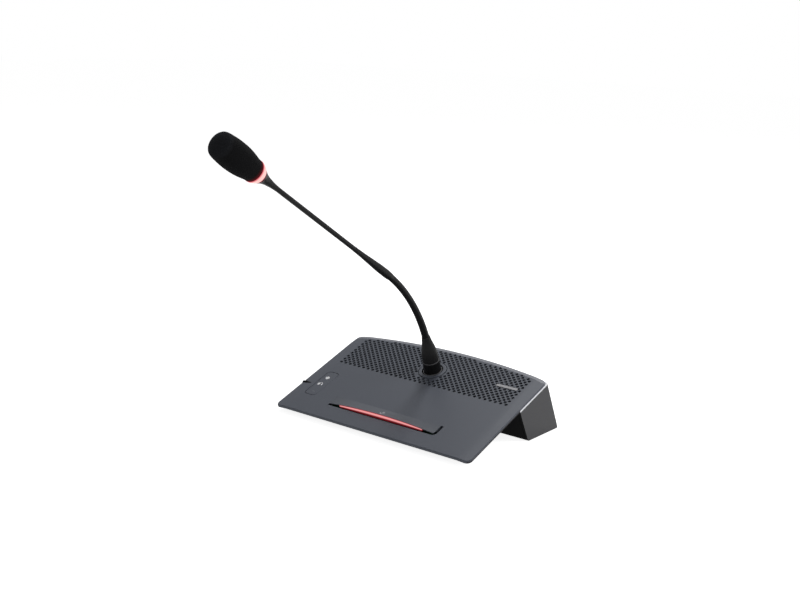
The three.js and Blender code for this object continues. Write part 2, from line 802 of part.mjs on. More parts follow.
const rockerPlate = prism(roundedRectangle(
  rockerLeft + gap, rockerRight - gap, rockerFront + rocker.endGap, rockerRear - rocker.endGap,
  rocker.corner - rocker.endGap), -rocker.thickness, 0);
const rockerRib = box(rockerLeft + rocker.ribInset, rockerRight - rocker.ribInset,
  rockerMiddle - rocker.ribLength / 2, rockerMiddle + rocker.ribLength / 2,
  postBottom, -rocker.thickness / 2);
const pushers = [-1, 1].map((end) => rodAt(tactSwitch.domeRadius, rockerX,
  rockerMiddle + end * pusherOffset, -rocker.thickness - rocker.pusherHeight,
  -rocker.thickness / 2, smallSides));
piece(deckGroup, 'volume_rocker', joined([rockerPlate, rockerRib, ...pushers]).subtract(
  rodAcross(rocker.pinRadius + gap, rockerMiddle, -rocker.pinDrop, rockerLeft, rockerRight)),
shellGrey);
piece(deckGroup, 'rocker_pin', rodAcross(rocker.pinRadius, rockerMiddle, -rocker.pinDrop,
  postSpans[0][0] + gap, postSpans[1][1] - gap), steel);

// Headphone socket

function jackBody() {
  const start = -halfWidth - jack.proud;
  const nose = jackCone(jack.noseRadius, jack.tailRadius, start, start + jack.length);
  const lug = box(start + overrun, start + overrun + jack.lugLength - gap,
    jack.slope - jack.lugWidth / 2, jack.slope + jack.lugWidth / 2, switchBottom,
    -jack.drop - jack.boreRadius - gap);
  const bore = rodAcross(jack.boreRadius, jack.slope, -jack.drop, start - overrun,
    start + jack.boreDepth, roundSides);
  return nose.add(lug).subtract(bore);
}

piece(deckGroup, 'headphone_socket', jackBody(), black);

// Loudspeaker

const speakerPlace = [speakerX, speakerSlope, 0];
const gasketOuter = speaker.radius - gap;
piece(deckGroup, 'speaker_gasket', ring(gasketOuter - speaker.gasketWidth, gasketOuter,
  gasketTop - speaker.gasketHeight, gasketTop).translate(speakerPlace), rubber);

const basketTop = speaker.radius - speaker.sheet;
const basketFloor = flangeBottom - speaker.basketDepth;
const basketWall = turned([
  [basketTop - speaker.sheet, flangeTop], [speaker.radius, flangeTop],
  [speaker.radius, flangeBottom], [basketTop, flangeBottom],
  [speaker.basketBottom, basketFloor], [speaker.capRadius + gap, basketFloor],
  [speaker.capRadius + gap, basketFloor + speaker.sheet],
  [speaker.basketBottom - speaker.sheet, basketFloor + speaker.sheet],
  [basketTop - speaker.sheet, flangeBottom], [basketTop - speaker.sheet, flangeTop],
]).translate(speakerPlace);
const earPlates = ears.map(([x, s]) => rodAt(speaker.earRadius, x, s, flangeBottom, flangeTop, smallSides));
const earHoles = ears.map(([x, s]) => rodAt(pilotRadius, x, s, flangeBottom - overrun,
  flangeTop + overrun, smallSides));
piece(deckGroup, 'speaker_frame', cut(joined([basketWall, ...earPlates]), earHoles), black);

const coneOuter = basketTop - speaker.sheet - gap;
const coneFloor = flangeTop - speaker.coneDepth;
piece(deckGroup, 'speaker_cone', turned([
  [0, coneFloor + speaker.coneThickness], [speaker.capRadius, coneFloor],
  [coneOuter - speaker.gasketWidth, flangeBottom + gap], [coneOuter, flangeBottom + gap],
  [coneOuter, flangeBottom + gap + speaker.coneThickness],
  [coneOuter - speaker.gasketWidth, flangeBottom + gap + speaker.coneThickness],
  [speaker.capRadius, coneFloor + speaker.coneThickness],
  [speaker.capRadius / 2, coneFloor + speaker.coneThickness + speaker.capHeight * 0.75],
  [0, coneFloor + speaker.coneThickness + speaker.capHeight],
]).translate(speakerPlace), paper);

piece(deckGroup, 'speaker_magnet', joined([
  rod(speaker.magnetRadius, basketFloor - gap - speaker.magnetHeight, basketFloor - gap),
  rod(speaker.capRadius, basketFloor - 2 * gap, coneFloor - gap),
]).translate(speakerPlace), steel);

screws(deckGroup, 'speaker_screw', ears, screw, flangeBottom - gap, -grille.skin - 2 * gap);

// Gooseneck mount

const mountGroup = new THREE.Group();
mountGroup.position.set(0, mountSlope, 0);
deckGroup.add(mountGroup);

piece(mountGroup, 'mount_ring', turned([
  [mount.ringInner, underside - gap], [mount.hubRadius, underside - gap],
  [mount.hubRadius, -mount.ringDepth], [mount.ringRadius, -mount.ringDepth],
  [mount.ringRadius, mount.ringProud / 2], [mount.ringRadius - mount.ringProud, mount.ringProud],
  [mount.ringInner, mount.ringProud], [mount.ringInner, underside - gap],
]), shellGrey);

const nutTop = underside - 2 * gap;
piece(mountGroup, 'mount_nut', rod(mount.nutRadius, nutTop - mount.nutHeight, nutTop, hexSides)
  .subtract(rod(mount.ringInner, nutTop - mount.nutHeight - overrun, nutTop + overrun)), brass);

const trimBottom = mount.ringProud + gap;
piece(mountGroup, 'collar_trim', ring(mount.ringInner, mount.trimRadius, trimBottom,
  trimBottom + mount.trimHeight), silver);

piece(mountGroup, 'mount_collar', ring(boot.bore, mount.collarRadius, -mount.collarReach,
  mount.collarHeight), black);

piece(mountGroup, 'boot_trim', ring(boot.bore, bootRing.radius, bootRing.start,
  bootRing.start + bootRing.height), silver);

// Gooseneck centre line in the part's frame

const neckLean = THREE.MathUtils.degToRad(neck.leanDegrees);
const arcRadius = (neck.arcEnd - neck.arcStart) / (neckLean - tilt);

function leanAt(length) {
  const along = THREE.MathUtils.clamp(length, neck.arcStart, neck.arcEnd) - neck.arcStart;
  return tilt + along / arcRadius;
}

function neckPoint(length) {
  const lean = leanAt(length);
  const start = deckPoint(0, mountSlope, Math.min(length, neck.arcStart));
  const point = start.clone();
  point.y -= arcRadius * (Math.cos(tilt) - Math.cos(lean));
  point.z += arcRadius * (Math.sin(lean) - Math.sin(tilt));
  const beyond = Math.max(0, length - neck.arcEnd);
  point.y -= beyond * Math.sin(lean);
  point.z += beyond * Math.cos(lean);
  return point;
}

function neckRing(length, radius, sides) {
  const centre = neckPoint(length);
  const lean = leanAt(length);
  return Array.from({ length: sides }, (unused, i) => {
    const angle = 2 * Math.PI * i / sides;
    const rise = radius * Math.sin(angle);
    return new THREE.Vector3(radius * Math.cos(angle), centre.y + rise * Math.cos(lean),
      centre.z + rise * Math.sin(lean));
  });
}

// Joint centres along the neck; the last one lies on the line of the rigid tube
const jointPitch = (neck.lastJoint - neck.firstJoint) / neck.links;
const joints = [];
for (let i = 0; i < neck.links; i += 1) {
  joints.push(neckPoint(neck.firstJoint + i * jointPitch));
}
const straight = new THREE.Vector3(0, -Math.sin(neckLean), Math.cos(neckLean));
joints.push(neckPoint(neck.arcEnd).addScaledVector(straight, neck.lastJoint - neck.arcEnd));

// Ball and socket profiles, as radius and height pairs about the ball's centre
const rim = THREE.MathUtils.degToRad(neck.rimDegrees);
const cupRadius = neck.ballRadius + gap;
const cupRim = cupRadius * Math.cos(rim);
const ballSteps = 5;

function ballProfile() {
  const end = Math.asin(neck.stemRadius / neck.ballRadius);
  const points = [];
  for (let i = 0; i <= ballSteps; i += 1) {
    const angle = Math.PI - (Math.PI - end) * (i / ballSteps);
    const radius = i === 0 ? 0 : neck.ballRadius * Math.sin(angle);
    points.push([radius, neck.ballRadius * Math.cos(angle)]);
  }
  points.push([neck.stemRadius, neck.stemLength]);
  return points;
}

function cupProfile(height) {
  const points = [[neck.radius, height + cupRim]];
  for (let i = 0; i <= ballSteps; i += 1) {
    const angle = rim + (Math.PI - rim) * (i / ballSteps);
    const radius = i === ballSteps ? 0 : cupRadius * Math.sin(angle);
    points.push([radius, height + cupRadius * Math.cos(angle)]);
  }
  return points;
}

function alignedAt(point, lean) {
  return new THREE.Matrix4().makeRotationX(lean).setPosition(point);
}

// Fixed stem inside the boot, ending in the first socket
const linkSides = 12;
const stemSteps = 8;
const stemEnd = neck.firstJoint - cupRadius - gap;
const stemRings = Array.from({ length: stemSteps + 1 }, (unused, i) => neckRing(
  (stemEnd + gap) * i / stemSteps, neck.coreRadius, linkSides));
const firstLean = leanAt(neck.firstJoint);
const firstCup = turned([
  [0, -cupRadius - 2 * gap], [neck.coreRadius, -cupRadius - 2 * gap],
  [neck.radius, -cupRadius + gap], ...cupProfile(0)], linkSides);
const stemTail = moved(rod(neck.coreRadius, -mount.collarReach + gap, 2 * gap, linkSides),
  alignedAt(neckPoint(0), tilt));
piece(unit, 'neck_stem', joined([
  stemTail, lofted(stemRings), moved(firstCup, alignedAt(joints[0], firstLean))]), steel);

// Rubber boot over the stem

function bootSolid() {
  const steps = 9;
  const radiusAt = (share) => {
    const next = Math.max(1, bootRadiusShares.findIndex(([place]) => place >= share));
    const [p0, r0] = bootRadiusShares[next - 1];
    const [p1, r1] = bootRadiusShares[next];
    return bootRadius * (r0 + (r1 - r0) * (share - p0) / (p1 - p0));
  };
  const outer = [];
  const inner = [];
  for (let i = 0; i <= steps; i += 1) {
    const share = i / steps;
    outer.push(neckRing(boot.start + (boot.end - boot.start) * share, radiusAt(share), roundSides));
  }
  for (let i = 0; i <= steps; i += 1) {
    const length = boot.start - gap + (boot.end - boot.start + 2 * gap) * i / steps;
    inner.push(neckRing(length, boot.bore, linkSides));
  }
  return lofted(outer).subtract(lofted(inner));
}

piece(unit, 'neck_boot', bootSolid(), rubber);

// Ball-jointed links

for (let i = 0; i < neck.links; i += 1) {
  const step = joints[i + 1].clone().sub(joints[i]);
  const lean = Math.atan2(-step.y, step.z);
  const link = turned([...ballProfile(), [neck.radius - neck.shoulder / 2, neck.stemLength],
    [neck.radius, neck.stemLength + neck.shoulder], ...cupProfile(step.length())], linkSides);
  const place = new THREE.Group();
  place.position.copy(joints[i]);
  place.rotation.x = lean;
  unit.add(place);
  piece(place, `neck_link_${i + 1}`, link, black);
}

// Rigid sleeve, tube and microphone head, along one line from the last joint

const headGroup = new THREE.Group();
headGroup.position.copy(joints[neck.links]);
headGroup.rotation.x = neckLean;
unit.add(headGroup);

function fromLastJoint(length) {
  return length - neck.lastJoint;
}

function shareProfile(shares, start, end, radius) {
  return shares.map(([place, size]) => [
    radius * size, fromLastJoint(start) + (end - start) * place]);
}

const sleeveStart = neck.lastJoint + neck.stemLength;
piece(headGroup, 'neck_sleeve', turned([
  ...ballProfile(), ...shareProfile(sleeveShares, sleeveStart, sleeve.end, sleeve.radius),
  [sleeve.endRadius, fromLastJoint(sleeve.end)], [0, fromLastJoint(sleeve.end)],
], linkSides), black);

piece(headGroup, 'upper_tube', rod(upperTube.radius, fromLastJoint(sleeve.end) + gap,
  fromLastJoint(upperTube.end), linkSides), black);

piece(headGroup, 'head_holder', turned([
  [0, fromLastJoint(holder.start)],
  ...shareProfile(holderShares, holder.start, holder.end, holder.endRadius),
  [holder.endRadius, fromLastJoint(holder.end)], [holder.coreRadius, fromLastJoint(holder.end)],
  [holder.coreRadius, fromLastJoint(holder.coreEnd)], [0, fromLastJoint(holder.coreEnd)],
]), black);

piece(headGroup, 'light_ring', turned([
  [holder.coreRadius + gap, fromLastJoint(lightRing.start)],
  [lightRing.startRadius, fromLastJoint(lightRing.start)],
  [lightRing.endRadius, fromLastJoint(lightRing.end)],
  [holder.coreRadius + gap, fromLastJoint(lightRing.end)],
  [holder.coreRadius + gap, fromLastJoint(lightRing.start)],
]), ringPink);

const capsuleStart = fromLastJoint(holder.coreEnd) + gap;
const capsuleEnd = capsuleStart + capsule.length;
piece(headGroup, 'mic_capsule', turned([
  [0, capsuleStart], [capsule.radius, capsuleStart],
  [capsule.radius, capsuleEnd - capsule.rimLength], [capsule.rimRadius, capsuleEnd - capsule.rimLength / 2],
  [capsule.rimRadius, capsuleEnd], [0, capsuleEnd],
]), steel);

const screenStart = fromLastJoint(windscreen.start);
piece(headGroup, 'windscreen', turned([
  [capsule.radius + gap, screenStart],
  ...shareProfile(windscreenShares, windscreen.start, windscreen.end, windscreen.radius),
  [0, fromLastJoint(windscreen.end)],
  [0, screenStart + windscreen.boreDepth],
  [capsule.radius + gap, screenStart + windscreen.boreDepth],
  [capsule.radius + gap, screenStart],
]), foam);

// Base pan: floor and front wall

const body = housingBody();

function basePan() {
  const inset = housing.wall + gap;
  const block = housingBlock(inset, housing.bottomHeight, -gap).intersect(body);
  const cavityFront = housing.wall / Math.cos(frontLean);
  const cavity = lofted([
    housingSection(floorTop, -overrun, 0, cavityFront),
    housingSection(deckPoint(0, deck.depth + deck.bulge, 0).z + overrun, -overrun, 0, cavityFront),
  ]);
  const pillars = coverBossPlaces.map(([x, y]) => rodAt(coverBoss.radius + gap, x, y,
    housing.bottomHeight + gap, coverBoss.height - gap, smallSides));
  const standoffs = boardPosts.map(([x, y]) => rodAt(boardPost.radius, x, y,
    floorTop - gap, floorTop + mainBoard.standoff, smallSides));
  const shaft = coverBossPlaces.flatMap(([x, y]) => [
    rodAt(longScrew.headRadius + gap, x, y, housing.bottomHeight - overrun, screwSeat, smallSides),
    rodAt(longScrew.shankRadius + gap, x, y, screwSeat - gap, coverBoss.height + overrun, smallSides),
  ]);
  const lugHoles = lugPlaces.flatMap(([x, y]) => [
    rodAt(pilotRadius, x, y, housing.bottomHeight - overrun, floorTop + overrun, smallSides),
    rodAt(screw.headRadius + gap, x, y, housing.bottomHeight - overrun,
      housing.bottomHeight + screw.headHeight + 2 * gap, smallSides),
  ]);
  const postHoles = boardPosts.map(([x, y]) => rodAt(pilotRadius, x, y,
    floorTop, floorTop + mainBoard.standoff + overrun, smallSides));
  const recess = box(-rearFootHalfLength, rearFootHalfLength, -foot.rearWidth / 2,
    foot.rearWidth / 2, housing.bottomHeight - overrun, foot.thickness + gap);
  const wallTop = deckPoint(0, housingFront, underside);
  const cableSlot = box(cable.x - cable.width / 2, cable.x + cable.width / 2,
    wallTop.y - overrun, wallTop.y + overrun + housing.wall, wallTop.z - cable.height, deck.depth);
  const whole = joined([block.subtract(cavity), ...pillars, ...standoffs]);
  return cut(whole, [...shaft, ...lugHoles, ...postHoles, recess, cableSlot]);
}

const screwSeat = coverBoss.height - longScrew.engagement;
const lugPlaces = [-1, 1].flatMap((side) => lug.places.map((y) => [
  side * (halfWidth - housing.wall - lug.radius), y]));
const boardRight = halfWidth - mainBoard.rightInset;
const boardPosts = [
  [mainBoard.left + boardPost.inset, mainBoard.rear - boardPost.inset],
  [boardRight - boardPost.inset, mainBoard.front + boardPost.inset],
];

piece(unit, 'base_pan', basePan(), black);

// Rear cover: cheeks and rear wall in one piece

const boardUnderside = floorTop + mainBoard.standoff + gap;
const socketBottom = boardUnderside + mainBoard.thickness + gap;
const socketTop = socketBottom + network.height;
const socketCentres = [network.firstX, network.firstX + network.pitch];
const shroudLeft = socketCentres[0] - network.width / 2 - gap;
const shroudRight = socketCentres[1] + network.width / 2 + gap;

function rearCover() {
  const hollow = lofted([
    housingSection(housing.bottomHeight - overrun, housing.wall, 0, -deck.depth),
    housingSection(deckPoint(0, deck.depth + deck.bulge, 0).z + overrun, housing.wall, 0, -deck.depth),
  ]);
  const lugs = lugPlaces.map(([x, y]) => {
    const side = Math.sign(x) * (halfWidth - housing.wall / 2);
    return joined([
      rodAt(lug.radius, x, y, floorTop + gap, floorTop + lug.height, smallSides),
      box(Math.min(x, side), Math.max(x, side), y - lug.radius / 2, y + lug.radius / 2,
        floorTop + gap, floorTop + lug.height),
    ]).subtract(rodAt(pilotRadius, x, y, 0, floorTop + lug.height - housing.wall, smallSides));
  });
  const cowl = box(shroudLeft - shroud.wall, shroudRight + shroud.wall, shroud.front,
    shroud.front + deck.depth, socketBottom - gap - shroud.wall, socketTop + gap + shroud.wall)
    .intersect(body);
  const mouth = box(shroudLeft, shroudRight, shroud.front - overrun, shroud.front + deck.depth,
    socketBottom - gap, socketTop + gap);
  return joined([body.subtract(hollow), cowl, ...lugs]).subtract(mouth);
}

piece(unit, 'rear_cover', rearCover(), cheekGrey);

// Foot strips

const strip = foot.margin + gap;
piece(unit, 'front_foot_strip', box(-keelHalfLength + strip, keelHalfLength - strip,
  keelFront + strip, keelFront + keel.width - strip, 0, foot.thickness), rubber);
piece(unit, 'rear_foot_strip', box(-rearFootHalfLength + gap, rearFootHalfLength - gap,
  -foot.rearWidth / 2 + gap, foot.rearWidth / 2 - gap, 0, foot.thickness), rubber);

// Main board and what is on it

const boardUpper = boardUnderside + mainBoard.thickness;
piece(unit, 'main_board', cut(
  box(mainBoard.left, boardRight, mainBoard.front, mainBoard.rear, boardUnderside, boardUpper),
  boardPosts.map(([x, y]) => rodAt(pilotRadius, x, y, floorTop, socketTop, smallSides))), boardGreen);

screws(unit, 'board_screw', boardPosts, screw, boardUpper + gap, floorTop + 2 * gap);

piece(unit, 'processor_chip', box(chip.x - chip.width / 2, chip.x + chip.width / 2,
  chip.y - chip.width / 2, chip.y + chip.width / 2,
  boardUpper + gap, boardUpper + gap + chip.thickness), black);

socketCentres.forEach((x, i) => {
  const face = network.faceY;
  const half = network.width / 2;
  const mouthBottom = socketBottom + networkMouth.rise;
  const socketBody = box(x - half, x + half, network.bodyFront, face, socketBottom, socketTop);
  const mouth = joined([
    box(x - networkMouth.width / 2, x + networkMouth.width / 2, face - networkMouth.depth,
      face + overrun, mouthBottom, mouthBottom + networkMouth.height),
    box(x - networkMouth.notchWidth / 2, x + networkMouth.notchWidth / 2, face - networkMouth.depth,
      face + overrun, mouthBottom - networkMouth.notchHeight, mouthBottom + networkMouth.height / 2),
  ]);
  piece(unit, `network_socket_${i + 1}`, socketBody.subtract(mouth), silver);
});

// Screws through the floor

screws(unit, 'base_screw', lugPlaces, screw, housing.bottomHeight + gap + screw.headHeight,
  floorTop + screw.reach);
screws(unit, 'cover_screw', coverBossPlaces, longScrew, screwSeat - gap,
  coverBoss.height + longScrew.engagement);

export default unit;
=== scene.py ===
"""Conference delegate unit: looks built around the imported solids.

A sloping deck on a rear housing, with a talk button, a volume rocker, a headphone socket and a
gooseneck microphone. Lengths are in metres. X runs to the right, Y away from the speaker's seat
and Z up. Deck pieces are drawn in the deck's own frame: x to the right, s up the slope from the
deck's front edge and n square to its top face.
"""

import json
import math

import bmesh
import bpy
from mathutils import Matrix, Vector, noise


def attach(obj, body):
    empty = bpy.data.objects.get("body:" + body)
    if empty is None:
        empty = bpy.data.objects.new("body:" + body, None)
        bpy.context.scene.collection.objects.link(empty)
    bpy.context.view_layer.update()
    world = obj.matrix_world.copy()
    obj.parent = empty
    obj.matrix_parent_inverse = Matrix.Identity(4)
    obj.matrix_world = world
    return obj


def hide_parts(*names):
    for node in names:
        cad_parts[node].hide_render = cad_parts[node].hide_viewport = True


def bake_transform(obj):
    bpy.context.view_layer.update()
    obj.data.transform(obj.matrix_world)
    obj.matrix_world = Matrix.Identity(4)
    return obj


bl_info = {
    "name": "Conference delegate unit",
    "version": (1, 0, 0),
    "blender": (4, 5, 0),
    "location": "3D View > Sidebar > Delegate Unit",
    "description": "Builds a desktop microphone unit around its solid parts",
    "category": "Add Mesh",
}

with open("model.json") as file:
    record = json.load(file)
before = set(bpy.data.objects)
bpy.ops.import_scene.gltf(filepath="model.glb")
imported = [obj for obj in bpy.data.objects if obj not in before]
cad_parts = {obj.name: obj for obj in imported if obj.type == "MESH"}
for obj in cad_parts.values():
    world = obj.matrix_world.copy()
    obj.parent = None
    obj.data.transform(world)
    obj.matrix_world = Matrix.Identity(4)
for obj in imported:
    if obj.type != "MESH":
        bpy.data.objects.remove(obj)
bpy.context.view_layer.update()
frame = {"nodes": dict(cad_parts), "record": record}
MM = 0.001
SAME_PLACE = 1e-7

# Settings that a user would change


def length(name, description, default):
    """A length in metres."""
    return bpy.props.FloatProperty(
        name=name, description=description, default=default, precision=5,
        unit="LENGTH", subtype="DISTANCE")


def angle(name, description, degrees):
    """An angle, given in degrees and kept in radians."""
    return bpy.props.FloatProperty(
        name=name, description=description, default=math.radians(degrees),
        unit="ROTATION", subtype="ANGLE")


def count(name, description, default):
    """A whole number of copies or steps."""
    return bpy.props.IntProperty(name=name, description=description, default=default, min=1)


def ratio(name, description, default):
    """A plain number."""
    return bpy.props.FloatProperty(
        name=name, description=description, default=default, precision=4)


def power(name, description, default):
    """A lamp's power in watts."""
    return bpy.props.FloatProperty(
        name=name, description=description, default=default, unit="POWER")


def colour(name, description, screen_levels):
    """A colour from its three levels of 0 to 255 on the screen."""
    linear = [channel_to_linear(level / 255) for level in screen_levels]
    return bpy.props.FloatVectorProperty(
        name=name, description=description, default=linear, min=0, max=1, size=3,
        subtype="COLOR")


def channel_to_linear(value):
    """A screen colour channel as light."""
    if value <= 0.04045:
        return value / 12.92
    return ((value + 0.055) / 1.055) ** 2.4


class DeckSizes(bpy.types.PropertyGroup):
    """Sizes of the deck plate and its perforated field."""

    width: length("Width", "Deck from side to side", 220 * MM)
    depth: length("Depth", "Deck from front to rear at its sides", 128.5 * MM)
    bulge: length("Bulge", "How far the rear edge bows out in its middle", 10.8 * MM)
    thickness: length("Thickness", "Thickness of the plate", 2.5 * MM)
    tilt: angle("Slope", "Slope of the deck", 20)
    front_height: length("Front height", "Height of the deck's front edge", 7.15 * MM)
    foot_setback: length("Foot setback", "From the front edge back to the rear foot", 130 * MM)
    front_corner: length("Front corner", "Radius of the front corners", 5 * MM)
    rear_corner: length("Rear corner", "Radius of the rear corners", 6 * MM)
    rim_roll: length("Rim roll", "How far the rear rim rolls over", 1 * MM)
    # The pale band along the rear rim is painted sheen: the light that the rolled rim catches is
    # painted as a lighter grey.
    rim_band: length("Rim band", "Width of the pale band along the rear rim", 4.6 * MM)
    rim_drop: length("Rim drop", "Drop of that band at the rear rim", 0.3 * MM)
    edge_round: length("Edge round", "Radius along the plate's top edges", 0.8 * MM)
    # Below this depth the side edges take painted shade.
    edge_shade_line: length("Edge line", "Depth at which the edge turns dark", 1.2 * MM)
    fold_width: length("Fold width", "Width of the strips that fold down at the sides", 13 * MM)
    fold_drop: length("Fold drop", "Drop of the side strips at the edge", 1 * MM)
    housing_length: length("Housing length", "Rear housing under the deck, front to rear", 47.5 * MM)
    housing_lean: angle("Housing lean", "Lean of the housing's front wall", 28.5)
    grille_length: length("Grille length", "Perforated field, front to rear", 47.8 * MM)
    grille_side: length("Grille side margin", "From the side to the perforations", 14.5 * MM)
    grille_rear: length("Grille rear margin", "From the rear edge to the perforations", 5 * MM)
    grille_skin: length("Grille skin", "Thickness of the perforated skin", 1.2 * MM)
    hole_pitch: length("Hole pitch", "Distance between holes in a row", 5.6 * MM)
    hole_radius: length("Hole radius", "Radius of one perforation", 1.6 * MM)
    mount_clearance: length("Mount clearance", "Plain skin around the microphone", 15.4 * MM)


class ControlSizes(bpy.types.PropertyGroup):
    """Sizes of the talk button, volume rocker, headphone socket and badge."""

    button_left: length("Button left", "Middle of the deck to the button's left end", 60 * MM)
    button_right: length("Button right", "Middle of the deck to the opening's right end", 62 * MM)
    button_front: length("Button front", "Front edge of its opening", 18.4 * MM)
    button_rear: length("Button rear", "Rear edge of its opening", 33 * MM)
    button_slit: length("Button slit", "Opening in front of the lip", 2.2 * MM)
    side_slit: length("Side slit", "Slit at the right end of the button", 2.8 * MM)
    button_corner: length("Button corner", "Radius of the opening's front right corner", 4.2 * MM)
    lip_rise: length("Lip rise", "Height of the lip in its middle", 3.6 * MM)
    lip_lean: ratio("Lip lean", "Lean of the lip's edge, as a share of its rise", 0.2)
    lip_thickness: length("Lip thickness", "Thickness of the lip", 0.7 * MM)
    arch_half: length("Arch half width", "Middle to where the arch meets the deck", 62 * MM)
    bar_left: length("Light bar left", "Middle of the deck to the lens's left end", 48.5 * MM)
    bar_right: length("Light bar right", "Middle of the deck to the lens's right end", 45.5 * MM)
    bar_setback: length("Light bar setback", "From the flap's front to the lens", 1.2 * MM)
    bar_depth: length("Light bar depth", "Lens from front to rear", 3.5 * MM)
    bar_foot: length("Light bar foot", "Lower edge of the lens, below the deck's face", 2.2 * MM)
    flap_ledge: length("Flap ledge", "From the lip back to the thick part of the flap", 5.1 * MM)
    flap_hinge: length("Flap hinge", "Rear stretch of the flap that bends", 2.4 * MM)
    rocker_side: length("Rocker side inset", "From the deck's side to the rocker", 14.3 * MM)
    rocker_width: length("Rocker width", "Rocker from side to side", 13.8 * MM)
    rocker_front: length("Rocker front", "Front edge of the rocker's opening", 25 * MM)
    rocker_rear: length("Rocker rear", "Rear edge of the rocker's opening", 63.9 * MM)
    rocker_corner: length("Rocker corner", "Corner radius of the rocker's opening", 4 * MM)
    rocker_end_gap: length("Rocker end gap", "Gap in front of and behind the rocker", 0.5 * MM)
    rocker_edge: length("Rocker edge", "Radius along the rocker's top edge", 0.4 * MM)
    rocker_height: length("Rocker height", "Thickness of the rocker's cap", 2.2 * MM)
    pin_depth: length("Pin depth", "Deck's face down to the rocker's pin", 4 * MM)
    pin_bore: length("Pin bore", "Radius of the rocker's bore", 1.1 * MM)
    gap: length("Running gap", "Gap around the moving keys", 0.3 * MM)
    jack_place: length("Socket place", "Headphone socket from the front edge", 41.5 * MM)
    jack_drop: length("Socket drop", "Deck face down to the headphone socket's axis", 2.7 * MM)
    jack_radius: length("Socket radius", "Radius of the headphone socket's nose", 2.2 * MM)
    jack_proud: length("Socket proud", "How far the nose stands out of the edge", 0.5 * MM)
    jack_bore: length("Socket bore", "Radius of the headphone socket's bore", 1.8 * MM)
    jack_depth: length("Socket depth", "Depth of the headphone socket's bore", 6.3 * MM)
    jack_length: length("Socket length", "Headphone socket from the edge inwards", 10 * MM)
    badge_side: length("Badge side margin", "From the deck's right side to the badge", 17.5 * MM)
    badge_rear: length("Badge rear margin", "Deck's side depth to the badge's middle", 23.2 * MM)
    badge_width: length("Badge width", "Badge from side to side", 22 * MM)
    badge_depth: length("Badge depth", "Badge from front to rear", 3.2 * MM)
    badge_height: length("Badge height", "Thickness of the badge", 0.6 * MM)


class MountSizes(bpy.types.PropertyGroup):
    """Sizes of the microphone's mount in the deck."""

    rear: length("Mount inset", "From the deck's side depth to the mount's middle", 25.3 * MM)
    hole: length("Hole", "Radius of the hole in the deck", 11.3 * MM)
    recess: length("Recess", "Radius of the recess around the hole", 14 * MM)
    recess_depth: length("Recess depth", "Depth of that recess", 1.5 * MM)
    land: length("Land", "Radius of the full plate around the recess", 17 * MM)
    boot_start: length("Boot start", "Lower end of the rubber boot", 11.4 * MM)
    boot_end: length("Boot end", "Upper end of the rubber boot", 38 * MM)
    boot_radius: length("Boot radius", "Largest radius of the rubber boot", 7.65 * MM)


class MicSizes(bpy.types.PropertyGroup):
    """Sizes of the gooseneck microphone, along its centre line from the deck."""

    arc_start: length("Bend start", "Where the gooseneck starts to bend", 21 * MM)
    arc_end: length("Bend end", "Where the gooseneck runs straight again", 129.7 * MM)
    lean: angle("Head lean", "Lean of the upper tube from upright", 58.3)
    first_joint: length("First joint", "Lowest joint of the gooseneck", 42 * MM)
    last_joint: length("Last joint", "Highest joint of the gooseneck", 120 * MM)
    links: count("Links", "Links between the lowest and the highest joint", 5)
    neck_start: length("Gooseneck start", "Lower end of the ribbed skin, in the boot", 34.5 * MM)
    neck_tail: length("Gooseneck tail", "Ribbed skin past the highest joint", 5 * MM)
    neck_radius: length("Gooseneck radius", "Radius of the ribbed gooseneck", 3.42 * MM)
    rib_pitch: length("Rib pitch", "Distance between the gooseneck's ribs", 1.3 * MM)
    rib_depth: ratio("Rib depth", "Depth of the ribs as a share of the radius", 0.022)
    sleeve_gap: length("Sleeve gap", "From the highest joint to the sleeve's skin", 3.3 * MM)
    sleeve_end: length("Sleeve end", "Upper end of the rigid sleeve", 184 * MM)
    sleeve_radius: length("Sleeve radius", "Largest radius of the sleeve", 3.75 * MM)
    tube_radius: length("Tube radius", "Radius of the thin upper tube", 2.12 * MM)
    tube_end: length("Tube end", "Upper end of the thin tube", 296 * MM)
    holder_end: length("Holder end", "Upper end of the head holder", 319.7 * MM)
    holder_radius: length("Holder radius", "Largest radius of the head holder", 7.2 * MM)
    ring_start: length("Light ring start", "Lower edge of the light ring", 320 * MM)
    ring_end: length("Light ring end", "Upper edge of the light ring", 326.2 * MM)
    ring_radius: length("Light ring radius", "Largest radius of the light ring", 9.5 * MM)
    screen_start: length("Windscreen start", "Lower edge of the windscreen", 326.5 * MM)
    screen_end: length("Windscreen end", "Tip of the windscreen", 371.3 * MM)
    screen_radius: length("Windscreen radius", "Largest radius of the windscreen", 12.15 * MM)
    screen_bore: length("Windscreen bore", "Radius of the windscreen's bore", 6.8 * MM)
    screen_reach: length("Windscreen bore depth", "Depth of the windscreen's bore", 28.7 * MM)
    core_radius: length("Core radius", "Radius of the core inside the light ring", 3.5 * MM)


